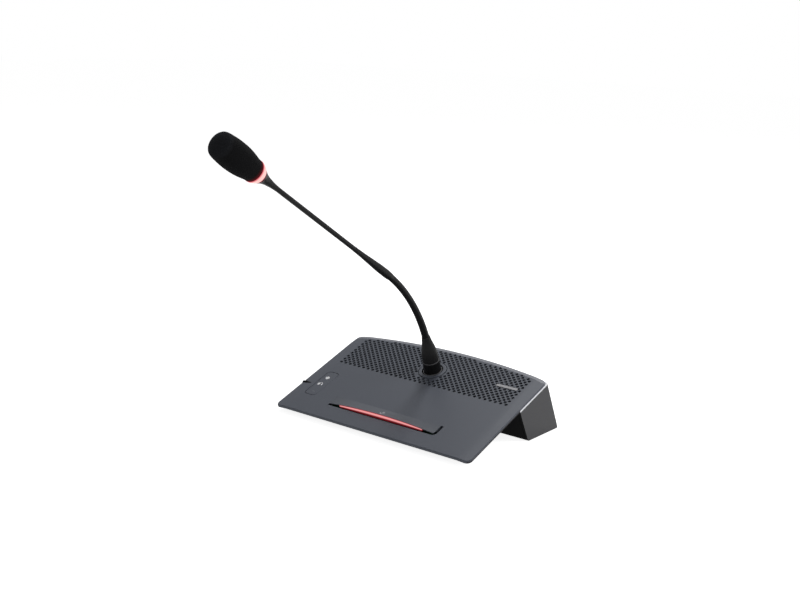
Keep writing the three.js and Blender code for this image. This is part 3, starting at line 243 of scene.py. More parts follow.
class FinishColours(bpy.types.PropertyGroup):
    """Colours of the finishes."""

    shell: colour("Shell grey", "Deck plate and keys", (78, 82, 91))
    # Painted shade: the button grey is the shell grey darkened, so that the flap's slope, which
    # catches more light, shows the deck's tone.
    button: colour("Button grey", "Flap of the talk button", (73, 77, 85))
    # Painted sheen: the rim grey paints the light that the rolled rear rim catches.
    rim: colour("Rim grey", "Pale band along the deck's rear rim", (132, 134, 141))
    cheek: colour("Cheek grey", "Sides and rear of the housing", (82, 82, 84))
    # Partly painted highlight: the trim is real, and its near-white also paints the light that catches
    # the cheek's top edge.
    trim: colour("Cheek trim", "Bright line along the top of the cheeks", (250, 251, 255))
    # Painted shade: the dark lower part of the plate's side edges, which lies in shade.
    edge: colour("Edge", "Lower part of the plate's edge", (50, 48, 52))
    black: colour("Black plastic", "Tray and floor", (7, 7, 8))
    collar: colour("Collar black", "Collar of the microphone", (20, 20, 21))
    # Painted reflection: the seam rings are black gloss trims, and this grey paints their thin
    # reflections.
    seam: colour("Seam grey", "Thin rings above and below the collar", (84, 84, 87))
    badge: colour("Badge grey", "Blank badge", (150, 150, 153))
    coating: colour("Tube black", "Coated tubes", (17, 17, 18))
    rubber: colour("Rubber", "Boot and feet", (25, 25, 26))
    foam: colour("Foam", "Windscreen", (22, 22, 23))
    foam_tip: colour("Foam tip", "End face of the windscreen", (36, 37, 40))
    red_deep: colour("Deep red", "Lower part of the light bar", (104, 22, 30))
    red_bright: colour("Bright red", "Lit upper part of the light bar", (246, 160, 160))
    red_rim: colour("Red rim", "Light bar right under the lip", (205, 70, 76))
    # Painted light: the lens's glow on the lip, which is no lamp.
    lip_glow: colour("Lip glow", "Light that the bar casts on the lip", (120, 28, 36))
    ring_pale: colour("Ring pink", "Lit ring under the windscreen", (255, 212, 206))
    ring_deep: colour("Ring red", "Edges of the lit ring", (232, 110, 120))
    # Painted light: the ring's glow on the holder and foam, which are no lamps.
    ring_glow: colour("Ring glow", "Light that the ring casts on its neighbours", (96, 4, 14))
    print_white: colour("White print", "Plus and headphone marks", (250, 250, 252))
    print_grey: colour("Grey print", "Microphone mark", (150, 151, 156))
    print_faint: colour("Faint print", "Minus mark", (112, 113, 118))


class StageSettings(bpy.types.PropertyGroup):
    """Camera, floor and lamps."""

    lens: bpy.props.FloatProperty(
        name="Lens", description="Focal length in millimetres", default=54.775, unit="CAMERA")
    camera: bpy.props.FloatVectorProperty(
        name="Camera", description="Place of the camera", default=(0.6374, -0.9269, 0.3658),
        size=3, subtype="TRANSLATION", unit="LENGTH")
    floor_size: length("Floor", "Half the side of the floor", 6.0)
    floor_level: ratio("Floor level", "How much light the floor throws back", 0.85)
    floor_glow: ratio("Floor glow", "Light added to the floor for the camera", 0.86)
    key_power: power("Key power", "Power of the lamp above and behind", 10.5)
    fill_power: power("Fill power", "Power of the front lamp", 4)
    side_power: power("Side power", "Power of the lamp on the right", 3.2)
    world_level: ratio("World level", "Brightness of the surroundings", 0.16)


SETTINGS = {
    "unit_deck": DeckSizes,
    "unit_controls": ControlSizes,
    "unit_mount": MountSizes,
    "unit_mic": MicSizes,
    "unit_colours": FinishColours,
    "unit_stage": StageSettings,
}


def deck_sizes():
    """The deck's settings."""
    return bpy.context.scene.unit_deck


def control_sizes():
    """The controls' settings."""
    return bpy.context.scene.unit_controls


def mount_sizes():
    """The mount's settings."""
    return bpy.context.scene.unit_mount


def mic_sizes():
    """The microphone's settings."""
    return bpy.context.scene.unit_mic


def colours():
    """The finishes' settings."""
    return bpy.context.scene.unit_colours


# Mesh building


def new_piece(name, points, faces):
    """A mesh object with its place in its mesh."""
    mesh = bpy.data.meshes.new(name)
    mesh.from_pydata([tuple(point) for point in points], [], faces)
    mesh.update()
    obj = bpy.data.objects.new(name, mesh)
    bpy.context.scene.collection.objects.link(obj)
    return obj


def faced_outwards(obj):
    """Turns every face of a closed mesh outwards."""
    mesh = bmesh.new()
    mesh.from_mesh(obj.data)
    bmesh.ops.recalc_face_normals(mesh, faces=mesh.faces[:])
    mesh.to_mesh(obj.data)
    mesh.free()
    return obj


def lofted(name, rings, caps=None):
    """A closed solid through rings of points; caps lists the faces of one end by ring index."""
    sides = len(rings[0])
    points = [point for ring in rings for point in ring]
    faces = []
    for level in range(len(rings) - 1):
        low, high = level * sides, (level + 1) * sides
        for i in range(sides):
            j = (i + 1) % sides
            faces.append((low + i, low + j, high + j, high + i))
    ends = caps or [list(range(sides))]
    last = (len(rings) - 1) * sides
    for end in ends:
        faces.append(tuple(reversed(end)))
        faces.append(tuple(last + i for i in end))
    return faced_outwards(new_piece(name, points, faces))


def turned(name, profile, sides=64):
    """A solid turned about Z from (radius, height) pairs; a radius of 0 closes an end."""
    points, rows, faces = [], [], []
    for radius, height in profile:
        if radius == 0:
            rows.append([len(points)])
            points.append((0, 0, height))
            continue
        rows.append(list(range(len(points), len(points) + sides)))
        for i in range(sides):
            turn = 2 * math.pi * i / sides
            points.append((radius * math.cos(turn), radius * math.sin(turn), height))
    closed = profile[0][0] != 0
    pairs = list(zip(rows, rows[1:]))
    if closed:
        pairs.append((rows[-1], rows[0]))
    for low, high in pairs:
        for i in range(sides):
            j = (i + 1) % sides
            face = [low[i % len(low)], low[j % len(low)], high[j % len(high)], high[i % len(high)]]
            unique = list(dict.fromkeys(face))
            if len(unique) > 2:
                faces.append(unique)
    return faced_outwards(new_piece(name, points, faces))


def in_mm(pairs):
    """Pairs of numbers in millimetres as lengths."""
    return [(first * MM, second * MM) for first, second in pairs]


def prism(name, outline, low, high):
    """A prism along Z from an outline of (x, y) pairs."""
    rings = [[(x, y, z) for x, y in outline] for z in (low, high)]
    return lofted(name, rings)


def block(name, x0, x1, y0, y1, z0, z1):
    """A box between two corners."""
    return prism(name, [(x0, y0), (x1, y0), (x1, y1), (x0, y1)], z0, z1)


def rounded_rectangle(x0, x1, y0, y1, radius, steps=8):
    """Outline of a rectangle with rounded corners."""
    outline = []
    for cx, cy, start in ((x1, y0, -90), (x1, y1, 0), (x0, y1, 90), (x0, y0, 180)):
        middle_x = cx - math.copysign(radius, cx - (x0 + x1) / 2)
        middle_y = cy - math.copysign(radius, cy - (y0 + y1) / 2)
        for i in range(steps + 1):
            turn = math.radians(start + 90 * i / steps)
            outline.append((middle_x + radius * math.cos(turn), middle_y + radius * math.sin(turn)))
    return outline


def moved(obj, matrix):
    """Moves the mesh itself, so that the object stays at the origin."""
    obj.data.transform(matrix)
    obj.data.update()
    return obj


def baked(obj):
    """Turns the object's modifiers into plain mesh."""
    depsgraph = bpy.context.evaluated_depsgraph_get()
    depsgraph.update()
    mesh = bpy.data.meshes.new_from_object(obj.evaluated_get(depsgraph), depsgraph=depsgraph)
    if not mesh.polygons:
        raise RuntimeError(f"{obj.name} has no faces left")
    obj.modifiers.clear()
    old = obj.data
    obj.data = mesh
    bpy.data.meshes.remove(old)
    return obj


def removed(*objs):
    """Deletes helper objects and their meshes."""
    for obj in objs:
        data = obj.data
        bpy.data.objects.remove(obj)
        if isinstance(data, bpy.types.Mesh):
            bpy.data.meshes.remove(data)


def combined(obj, operation, *others):
    """Adds or cuts other solids to or from this one, and deletes them."""
    for other in others:
        modifier = obj.modifiers.new(operation, "BOOLEAN")
        modifier.operation = operation
        modifier.solver = "MANIFOLD"
        modifier.object = other
        baked(obj)
        removed(other)
    return obj


def joined(name, *objs):
    """Several meshes as one object, each kept as it is."""
    mesh = bmesh.new()
    materials = []
    for obj in objs:
        offset = len(mesh.faces)
        mesh.from_mesh(obj.data)
        mesh.faces.ensure_lookup_table()
        remap = []
        for material in obj.data.materials:
            if material not in materials:
                materials.append(material)
            remap.append(materials.index(material))
        for face in mesh.faces[offset:]:
            if remap:
                face.material_index = remap[min(face.material_index, len(remap) - 1)]
    data = bpy.data.meshes.new(name)
    mesh.to_mesh(data)
    mesh.free()
    for material in materials:
        data.materials.append(material)
    whole = bpy.data.objects.new(name, data)
    bpy.context.scene.collection.objects.link(whole)
    removed(*objs)
    return whole


def smoothed(obj, sharp_degrees=32, weighted=True):
    """Smooth shading with sharp edges, the flat faces leading."""
    for polygon in obj.data.polygons:
        polygon.use_smooth = True
    obj.data.set_sharp_from_angle(angle=math.radians(sharp_degrees))
    if weighted:
        modifier = obj.modifiers.new("Weighted normals", "WEIGHTED_NORMAL")
        modifier.keep_sharp = True
        modifier.weight = 90
        baked(obj)
    return obj


def bevelled(obj, width):
    """Rounds the sharp edges."""
    modifier = obj.modifiers.new("Bevel", "BEVEL")
    modifier.width = width
    modifier.segments = 2
    modifier.limit_method = "ANGLE"
    modifier.angle_limit = math.radians(40)
    modifier.harden_normals = False
    return baked(obj)


def painted(obj, *materials):
    """Gives the object its finishes."""
    obj.data.materials.clear()
    for material in materials:
        obj.data.materials.append(material)
    return obj


def placed(obj, body, slot, *nodes):
    """Lets a finished piece ride on its body and stand for its solids."""
    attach(obj, body)
    if nodes:
        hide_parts(*nodes)
    return obj


# Shape of the deck


def deck_matrix():
    """From the deck's frame to the part's frame."""
    deck = deck_sizes()
    place = Matrix.Translation((0, -deck.foot_setback, deck.front_height))
    return place @ Matrix.Rotation(deck.tilt, 4, "X")


def smoothstep(value, low, high):
    """A soft step from 0 to 1."""
    share = min(1, max(0, (value - low) / (high - low)))
    return share * share * (3 - 2 * share)


def rear_edge(x):
    """Slope distance of the deck's rear edge at x."""
    deck = deck_sizes()
    return deck.depth + deck.bulge * (1 - (2 * x / deck.width) ** 2)


def rear_outline(inset, corner_steps=14, arc_steps=44):
    """The bowed rear edge with its two corners, from right to left, as (x, s) pairs."""
    deck = deck_sizes()
    half = deck.width / 2
    side = half - inset
    radius = deck.rear_corner - min(inset, deck.rear_corner / 2)
    slope = math.atan(2 * deck.bulge * (side - radius) / half ** 2)
    tangent_x = side - radius + radius * math.sin(slope)
    centre_s = rear_edge(tangent_x) - inset - radius * math.cos(slope)
    corner = []
    for i in range(corner_steps + 1):
        turn = (math.pi / 2 - slope) * i / corner_steps
        corner.append((side - radius + radius * math.cos(turn), centre_s + radius * math.sin(turn)))
    arc = []
    for i in range(1, arc_steps):
        x = tangent_x * (1 - 2 * i / arc_steps)
        arc.append((x, rear_edge(x) - inset))
    return corner + arc + [(-x, s) for x, s in reversed(corner)]


def fold_drop(x):
    """How far the side strips have dropped at x."""
    deck = deck_sizes()
    flat = deck.width / 2 - deck.fold_width
    return deck.fold_drop * max(0, abs(x) - flat) / deck.fold_width


def plate_outline():
    """Deck outline as (x, s, inward x, inward s), with points on the two fold lines."""
    deck = deck_sizes()
    half = deck.width / 2
    flat = half - deck.fold_width
    radius = deck.front_corner
    steps = 12
    front = []
    for i in range(steps + 1):
        turn = -math.pi / 2 + (math.pi / 2) * i / steps
        front.append((half - radius + radius * math.cos(turn), radius + radius * math.sin(turn)))
    sides = 16
    rear = rear_outline(0)
    right_end = rear[0]
    right = [(half, radius + (right_end[1] - radius) * i / sides) for i in range(1, sides)]
    left = [(-x, s) for x, s in reversed(right)]
    middle = [(flat * share, 0) for share in (-1, -0.5, 0, 0.5, 1)]
    outline = [(-x, s) for x, s in reversed(front)] + middle + front + right + rear + left
    outline = with_fold_points(outline, flat)
    pairs = []
    for i, (x, s) in enumerate(outline):
        before, after = outline[i - 1], outline[(i + 1) % len(outline)]
        tangent = Vector((after[0] - before[0], after[1] - before[1])).normalized()
        pairs.append((x, s, -tangent.y, tangent.x))
    return pairs


def with_fold_points(outline, flat):
    """The outline with a point wherever it crosses a fold line."""
    result = []
    for i, (x, s) in enumerate(outline):
        before = outline[i - 1]
        for line in (-flat, flat):
            crosses = (before[0] - line) * (x - line) < 0
            if crosses and min(abs(before[0] - line), abs(x - line)) > SAME_PLACE:
                share = (line - before[0]) / (x - before[0])
                result.append((line, before[1] + (s - before[1]) * share))
        result.append((x, s))
    return result


def plate_section(reach):
    """(inset, level) pairs over the plate's edge: 0 gives the plain edge, 1 the rear rim."""
    deck = deck_sizes()
    rim_foot, rim_turn = deck.thickness - 0.1 * MM, deck.thickness - 0.2 * MM
    flat = deck.edge_round + 0.4 * MM
    steps = 8
    section = [(0, -deck.thickness)]
    section.append((0, -deck.edge_shade_line + (deck.edge_shade_line - rim_foot) * reach))
    for i in range(steps + 1):
        turn = (math.pi / 2) * i / steps
        run, fall = 1 - math.cos(turn), 1 - math.sin(turn)
        plain = (deck.edge_round * run, -deck.edge_round * fall)
        rear = (deck.rim_roll * run, -deck.rim_drop - (rim_turn - deck.rim_drop) * fall)
        section.append(tuple(a + (b - a) * reach for a, b in zip(plain, rear)))
    section.append((flat + (deck.rim_band - flat) * reach, 0))
    return section


def deck_plate_solid():
    """The plate without its openings, in the deck's frame."""
    deck = deck_sizes()
    flat = deck.width / 2 - deck.fold_width
    outline = plate_outline()
    columns = []
    on_line = {}
    for i, (x, s, inward_x, inward_s) in enumerate(outline):
        if abs(abs(x) - flat) < SAME_PLACE:
            on_line[(x > 0, s > deck.depth / 2)] = i
            inward_x, inward_s = 0, math.copysign(1, inward_s)
        reach = smoothstep(s, deck.depth - 2.5 * deck.rear_corner, deck.depth - deck.rear_corner / 2)
        column = []
        for inset, level in plate_section(reach):
            moved_x = x + inward_x * inset
            column.append((moved_x, s + inward_s * inset, level - fold_drop(moved_x)))
        columns.append(column)
    rings = [list(ring) for ring in zip(*columns)]
    size = len(outline)

    def span(start, end):
        return [(start + k) % size for k in range((end - start) % size + 1)]

    right_front, right_rear = on_line[(True, False)], on_line[(True, True)]
    left_rear, left_front = on_line[(False, True)], on_line[(False, False)]
    caps = [
        span(left_front, right_front) + span(right_rear, left_rear),
        span(right_front, right_rear),
        span(left_rear, left_front),
    ]
    return lofted("deck_plate", rings, caps)


def grille_outline(inset, steps=40):
    """Outline of the perforated field, drawn in by inset."""
    deck = deck_sizes()
    side = deck.width / 2 - deck.grille_side - inset
    front = deck.depth - deck.grille_length + inset
    outline = [(-side, front), (side, front)]
    for i in range(steps + 1):
        x = side * (1 - 2 * i / steps)
        outline.append((x, rear_edge(x) - deck.grille_rear - inset))
    return outline


def mount_place():
    """Slope distance of the microphone's mount."""
    return deck_sizes().depth - mount_sizes().rear


# Shape of the gooseneck


def neck_lean(run):
    """Lean of the neck's centre line from upright, at a length from the deck."""
    mic, tilt = mic_sizes(), deck_sizes().tilt
    share = (min(max(run, mic.arc_start), mic.arc_end) - mic.arc_start) / (mic.arc_end - mic.arc_start)
    return tilt + (mic.lean - tilt) * share


def neck_point(run):
    """Point of the neck's centre line at a length from the deck."""
    mic, tilt = mic_sizes(), deck_sizes().tilt
    radius = (mic.arc_end - mic.arc_start) / (mic.lean - tilt)
    point = deck_matrix() @ Vector((0, mount_place(), min(run, mic.arc_start)))
    lean = neck_lean(run)
    point.y -= radius * (math.cos(tilt) - math.cos(lean))
    point.z += radius * (math.sin(lean) - math.sin(tilt))
    beyond = max(0, run - mic.arc_end)
    point.y -= beyond * math.sin(lean)
    point.z += beyond * math.cos(lean)
    return point


def neck_radius(run):
    """Radius of the gooseneck's skin, which tapers upwards."""
    mic = mic_sizes()
    place = min(1, max(0, (run - mic.first_joint) / (mic.last_joint - mic.first_joint)))
    for (p0, r0), (p1, r1) in zip(NECK_SHARES, NECK_SHARES[1:]):
        if place <= p1:
            return mic.neck_radius * (r0 + (r1 - r0) * (place - p0) / (p1 - p0))
    return mic.neck_radius * NECK_SHARES[-1][1]


def top_joint():
    """Centre of the gooseneck's highest joint."""
    mic = mic_sizes()
    straight = Vector((0, -math.sin(mic.lean), math.cos(mic.lean)))
    return neck_point(mic.arc_end) + straight * (mic.last_joint - mic.arc_end)


def head_matrix():
    """Frame of the rigid head: Z along the tube, lengths counted from the deck."""
    mic = mic_sizes()
    place = Matrix.Translation(top_joint()) @ Matrix.Rotation(mic.lean, 4, "X")
    return place @ Matrix.Translation((0, 0, -mic.last_joint))


def mount_matrix():
    """Frame of the mount: Z square to the deck through the microphone's middle."""
    return deck_matrix() @ Matrix.Translation((0, mount_place(), 0))


def smooth_profile(shares, start, end, radius, between=6):
    """(radius, height) pairs on a smooth curve through (place, size) shares."""
    points = [Vector((radius * size, start + (end - start) * place)) for place, size in shares]
    last = len(points) - 1
    profile = []
    for k in range(last):
        low, high = points[k], points[k + 1]
        chord = (high - low).length
        leaving = (high - points[max(k - 1, 0)]).normalized() * chord
        arriving = (points[min(k + 2, last)] - low).normalized() * chord
        for i in range(between):
            t = i / between
            point = (low * (2 * t ** 3 - 3 * t ** 2 + 1) + leaving * (t ** 3 - 2 * t ** 2 + t)
                     + high * (3 * t ** 2 - 2 * t ** 3) + arriving * (t ** 3 - t ** 2))
            profile.append((point.x, point.y))
    return profile + [(points[last].x, points[last].y)]


# Shares of a piece's length and of its largest radius, from its lower end

BOOT_SHARES = [(0, 1), (0.18, 0.993), (0.34, 0.954), (0.5, 0.863), (0.64, 0.745), (0.8, 0.614),
               (1, 0.51)]
NECK_SHARES = [(0, 1), (0.25, 0.96), (0.6, 0.91), (1, 0.9)]
SLEEVE_SHARES = [(0, 0.83), (0.045, 0.92), (0.12, 0.995), (0.24, 0.99), (0.37, 0.96), (0.51, 0.86),
                 (0.64, 0.77), (0.77, 0.675), (0.9, 0.62), (1, 0.587)]
HOLDER_SHARES = [(0, 0.305), (0.17, 0.333), (0.34, 0.389), (0.51, 0.467), (0.61, 0.521),
                 (0.82, 0.722), (0.93, 0.903), (1, 1)]
RING_SHARES = [(0, 0.765), (0.03, 0.785), (0.18, 0.85), (0.46, 0.92), (0.74, 0.975), (0.93, 1),
               (1, 0.985)]
SCREEN_SHARES = [
    (0, 0.774), (0.084, 0.802), (0.143, 0.845), (0.225, 0.904), (0.311, 0.95), (0.391, 0.978),
    (0.475, 0.992), (0.561, 0.998), (0.643, 0.989), (0.73, 0.967), (0.818, 0.935), (0.88, 0.905),
    (0.916, 0.872), (0.939, 0.815), (0.952, 0.741), (0.977, 0.535), (0.993, 0.288), (0.999, 0.06)]


# Finishes


def group_socket(group, name, direction, kind, default=None):
    """Adds a named socket to a node group."""
    socket = group.interface.new_socket(name=name, in_out=direction, socket_type=kind)
    if default is not None:
        socket.default_value = default
    return socket


def fed(tree, node, inputs):
    """Gives a node's inputs plain values or other nodes' outputs."""
    for name, value in inputs.items():
        if isinstance(value, bpy.types.NodeSocket):
            tree.links.new(value, node.inputs[name])
        else:
            node.inputs[name].default_value = value


def added(tree, kind, inputs=None, **settings):
    """A new node with its settings and inputs."""
    node = tree.nodes.new(kind)
    for name, value in settings.items():
        setattr(node, name, value)
    fed(tree, node, inputs or {})
    return node


def calculated(tree, operation, *values):
    """The result of one operation on plain numbers or other nodes' outputs."""
    inputs = dict(enumerate(values))
    return added(tree, "ShaderNodeMath", inputs, operation=operation).outputs[0]


def scaled(tree, tint, factor):
    """A colour times a factor."""
    inputs = {0: tint, "Scale": factor}
    return added(tree, "ShaderNodeVectorMath", inputs, operation="SCALE").outputs["Vector"]


def surface_group():
    """Fine surface grain: mottled colour, uneven gloss and a small bump."""
    existing = bpy.data.node_groups.get("Surface grain")
    if existing:
        return existing
    group = bpy.data.node_groups.new("Surface grain", "ShaderNodeTree")
    group_socket(group, "Colour", "INPUT", "NodeSocketColor", (0.5, 0.5, 0.5, 1))
    for name, default in (("Mottle", 0.1), ("Roughness", 0.5), ("Unevenness", 0.1),
                          ("Grain scale", 2500), ("Grain depth", 0.00002)):
        group_socket(group, name, "INPUT", "NodeSocketFloat", default)
    group_socket(group, "Colour", "OUTPUT", "NodeSocketColor")
    group_socket(group, "Roughness", "OUTPUT", "NodeSocketFloat")
    group_socket(group, "Normal", "OUTPUT", "NodeSocketVector")
    given = added(group, "NodeGroupInput").outputs
    place = added(group, "ShaderNodeTexCoord").outputs["Object"]
    grain = added(group, "ShaderNodeTexNoise", {
        "Detail": 2, "Vector": place, "Scale": given["Grain scale"]}).outputs["Fac"]
    bump = added(group, "ShaderNodeBump", {"Height": grain, "Distance": given["Grain depth"]})
    broad = added(group, "ShaderNodeTexNoise", {"Scale": 45, "Detail": 3, "Vector": place})
    centred = calculated(group, "SUBTRACT", broad.outputs["Fac"], 0.5)
    gloss = calculated(group, "MULTIPLY_ADD", centred, given["Unevenness"], given["Roughness"])
    shift = calculated(group, "SUBTRACT", calculated(group, "ADD", grain, centred), 0.5)
    shade = calculated(group, "MULTIPLY_ADD", shift, given["Mottle"], 1)
    added(group, "NodeGroupOutput", {
        "Colour": scaled(group, given["Colour"], shade), "Roughness": gloss,
        "Normal": bump.outputs["Normal"]})
    return group


def new_material(name):
    """An empty material with its tree and Principled shader."""
    material = bpy.data.materials.new(name)
    material.use_nodes = True
    tree = material.node_tree
    tree.nodes.clear()
    shader = added(tree, "ShaderNodeBsdfPrincipled")
    added(tree, "ShaderNodeOutputMaterial", {"Surface": shader.outputs["BSDF"]})
    return material, tree, shader


def copied_material(source, name):
    """A copy of a finish under another name, with its tree and Principled shader."""
    material = source.copy()
    material.name = name
    tree = material.node_tree
    shader = next(node for node in tree.nodes if node.type == "BSDF_PRINCIPLED")
    return material, tree, shader


def finish(name, tint, roughness, mottle=0.1, unevenness=0.08, grain_scale=2500,
           grain_depth=0.00002, specular=0.5, metallic=0.0):
    """A named finish: one Principled shader fed by the surface grain."""
    existing = bpy.data.materials.get(name)
    if existing:
        return existing
    material, tree, shader = new_material(name)
    grain = added(tree, "ShaderNodeGroup", {
        "Colour": (*tint, 1), "Mottle": mottle, "Roughness": roughness, "Unevenness": unevenness,
        "Grain scale": grain_scale, "Grain depth": grain_depth}, node_tree=surface_group()).outputs
    fed(tree, shader, {
        "Base Color": grain["Colour"], "Roughness": grain["Roughness"], "Normal": grain["Normal"],
        "Metallic": metallic, "Specular IOR Level": specular})
    return material


# Plain finishes by colour setting: name, roughness, mottle, unevenness, grain scale, grain depth and
# specular level

PLAIN_FINISHES = {
    "shell": ("Satin shell grey", 0.46, 0.05, 0.05, 3200, 0.000012, 0.2),
    # Painted shade: the button finish is a darkened copy of the shell finish.
    "button": ("Satin button grey", 0.46, 0.05, 0.05, 3200, 0.000012, 0.2),
    # Painted sheen on the rolled rear rim.
    "rim": ("Satin rim grey", 0.46, 0.04, 0.05, 3200, 0.000012, 0.2),
    "cheek": ("Matt cheek grey", 0.65, 0.05, 0.08, 2600, 0.00002, 0.15),
    # Real trim whose near-white is partly a painted highlight.
    "trim": ("Bright cheek trim", 0.4, 0.03, 0.08, 2500, 0.00002, 0.3),
    # Painted shade on the lower side edges.
    "edge": ("Dark plate edge", 0.6, 0.05, 0.08, 2500, 0.00002, 0.1),
    "black": ("Moulded black plastic", 0.6, 0.1, 0.08, 2200, 0.00003, 0.03),
    "collar": ("Satin collar black", 0.35, 0.05, 0.08, 2500, 0.000008, 0.12),
    # Painted reflection on black gloss seam rings.
    "seam": ("Dark grey seam ring", 0.35, 0.04, 0.08, 2500, 0.00002, 0.2),
    "badge": ("Brushed badge grey", 0.4, 0.25, 0.08, 900, 0.00002, 0.3),
    "coating": ("Black tube coating", 0.45, 0.08, 0.08, 3500, 0.00002, 0.12),
    "rubber": ("Matt black rubber", 0.55, 0.12, 0.08, 1800, 0.00002, 0.16),
}

# Finishes that show only in the carried-over solids: name, colour as light, roughness and metallic

SOLID_FINISHES = {
    "steel": ("Plated steel", (0.62, 0.63, 0.66), 0.3, 1.0),
    "brass": ("Turned brass", (0.66, 0.5, 0.22), 0.32, 1.0),
    "silver": ("Bright anodised metal", (0.66, 0.67, 0.7), 0.3, 1.0),
    "capsule_metal": ("Capsule metal", (0.55, 0.55, 0.58), 0.35, 1.0),
    "board": ("Green circuit board", (0.02, 0.12, 0.05), 0.35, 0.0),
    "cloth": ("Acoustic cloth", (0.006, 0.006, 0.007), 0.9, 0.0),
    "cone_paper": ("Pressed cone paper", (0.02, 0.02, 0.022), 0.85, 0.0),
}
PLAIN_SLOTS = {
    "shell_grey": "shell", "cheek_grey": "cheek", "black_plastic": "black", "rubber": "rubber",
    "black_metal": "coating",
}
LENS_HEIGHT = "lens_height"


def plain(kind):
    """One of the plain finishes."""
    name, *values = PLAIN_FINISHES[kind]
    return finish(name, getattr(colours(), kind), *values)


def slot_finish(slot):
    """The finish of one of the record's material slots."""
    special = {"foam": foam_with_painted_glow, "red_lens": bar_finish, "ring_lens": ring_finish}
    if slot in special:
        return special[slot]()
    if slot in PLAIN_SLOTS:
        return plain(PLAIN_SLOTS[slot])
    name, tint, roughness, metallic = SOLID_FINISHES[slot]
    return finish(name, tint, roughness, metallic=metallic)


def ramp(tree, source, stops):
    """The source's colour on a ramp of (place, colour) stops."""
    node = added(tree, "ShaderNodeValToRGB", {"Fac": source})
    elements = node.color_ramp.elements
    while len(elements) < len(stops):
        elements.new(1)
    for element, (place, tint) in zip(elements, stops):
        element.position = place
        element.color = (*tint, 1)
    return node.outputs["Color"]


def ranged(tree, source, low, high):
    """The source mapped from low..high to 0..1."""
    inputs = {"From Min": low, "From Max": high, "Value": source}
    return added(tree, "ShaderNodeMapRange", inputs).outputs["Result"]


def bar_finish():
    """Red lens of the light bar: dark red below, pink above and red right under the lip."""
    existing = bpy.data.materials.get("Lit red lens")
    if existing:
        return existing
    tints = colours()
    material, tree, shader = new_material("Lit red lens")
    height = added(tree, "ShaderNodeAttribute", attribute_name=LENS_HEIGHT).outputs["Fac"]
    tone = ramp(tree, height, [
        (0.0, tints.red_deep), (0.3, tints.red_deep), (0.55, tints.red_bright),
        (0.8, tints.red_bright), (1.0, tints.red_rim)])
    fed(tree, shader, {
        "Emission Color": tone, "Emission Strength": 1, "Base Color": (0.02, 0.002, 0.003, 1),
        "Roughness": 0.4, "Specular IOR Level": 0.1})
    return material


def painted_lip_glow():
    """Edge of the talk button's lip, with the red light of the lens below it painted on as a glow."""
    existing = bpy.data.materials.get("Reddened lip")
    if existing:
        return existing
    material, tree, shader = copied_material(plain("button"), "Reddened lip")
    fed(tree, shader, {"Emission Color": (*colours().lip_glow, 1), "Emission Strength": 1})
    return material


def head_place(tree):
    """The place on the piece, and the length along the microphone's head from the deck."""
    place = added(tree, "ShaderNodeTexCoord").outputs["Object"]
    turned_place = added(tree, "ShaderNodeMapping", {
        "Vector": place, "Location": head_matrix().translation,
        "Rotation": (mic_sizes().lean, 0, 0)}, vector_type="TEXTURE").outputs["Vector"]
    return place, added(tree, "ShaderNodeSeparateXYZ", {"Vector": turned_place}).outputs["Z"]


def ring_finish():
    """Lit ring under the windscreen: pale pink with deeper red edges."""
    existing = bpy.data.materials.get("Lit pink ring")
    if existing:
        return existing
    tints, mic = colours(), mic_sizes()
    material, tree, shader = new_material("Lit pink ring")
    along = ranged(tree, head_place(tree)[1], mic.ring_start, mic.ring_end)
    tone = ramp(tree, along, [
        (0.0, tints.ring_deep), (0.2, tints.ring_pale), (0.8, tints.ring_pale),
        (1.0, tints.ring_deep)])
    fed(tree, shader, {
        "Emission Color": tone, "Emission Strength": 0.9,
        "Base Color": (*(0.2 * level for level in tints.ring_deep), 1),
        "Roughness": 0.4, "Specular IOR Level": 0.1})
    return material


def ring_glow(tree, along, lit, dark):
    """Painted red glow that fades from the lit place to the dark one."""
    near = ranged(tree, along, dark, lit)
    return scaled(tree, colours().ring_glow, calculated(tree, "POWER", near, 2))


def holder_with_painted_glow():
    """Black head holder, with the ring's light painted as a glow at its upper end."""
    existing = bpy.data.materials.get("Black holder beside the ring")
    if existing:
        return existing
    lit, reach = mic_sizes().ring_start, 3.5 * MM
    material, tree, shader = copied_material(plain("coating"), "Black holder beside the ring")
    glow = ring_glow(tree, head_place(tree)[1], lit, lit - reach)
    fed(tree, shader, {"Emission Color": glow, "Emission Strength": 1})
    return material


def foam_with_painted_glow():
    """Open-cell foam, paler over its end face, with the ring's light painted as a glow at its foot."""
    existing = bpy.data.materials.get("Open-cell foam")
    if existing:
        return existing
    tints, mic = colours(), mic_sizes()
    material, tree, shader = new_material("Open-cell foam")
    place, along = head_place(tree)
    fade_start, fade_end = mic.screen_end - 7 * MM, mic.screen_end - 2.5 * MM
    tip = ranged(tree, along, fade_start, fade_end)
    tone = ramp(tree, tip, [(0.0, tints.foam), (1.0, tints.foam_tip)])
    cells = added(tree, "ShaderNodeTexVoronoi", {"Scale": 1500, "Vector": place}).outputs["Distance"]
    shade = added(tree, "ShaderNodeMapRange", {
        "From Max": 0.6, "To Min": 0.55, "To Max": 1.25, "Value": cells}).outputs["Result"]
    reach = 4.5 * MM
    glow = ring_glow(tree, along, mic.screen_start, mic.screen_start + reach)
    bump = added(tree, "ShaderNodeBump", {"Distance": 0.00025, "Strength": 0.7, "Height": cells})
    fed(tree, shader, {
        "Base Color": scaled(tree, tone, shade), "Emission Color": glow, "Emission Strength": 1,
        "Normal": bump.outputs["Normal"], "Roughness": 0.95, "Specular IOR Level": 0.05})
    return material


# Geometry Nodes


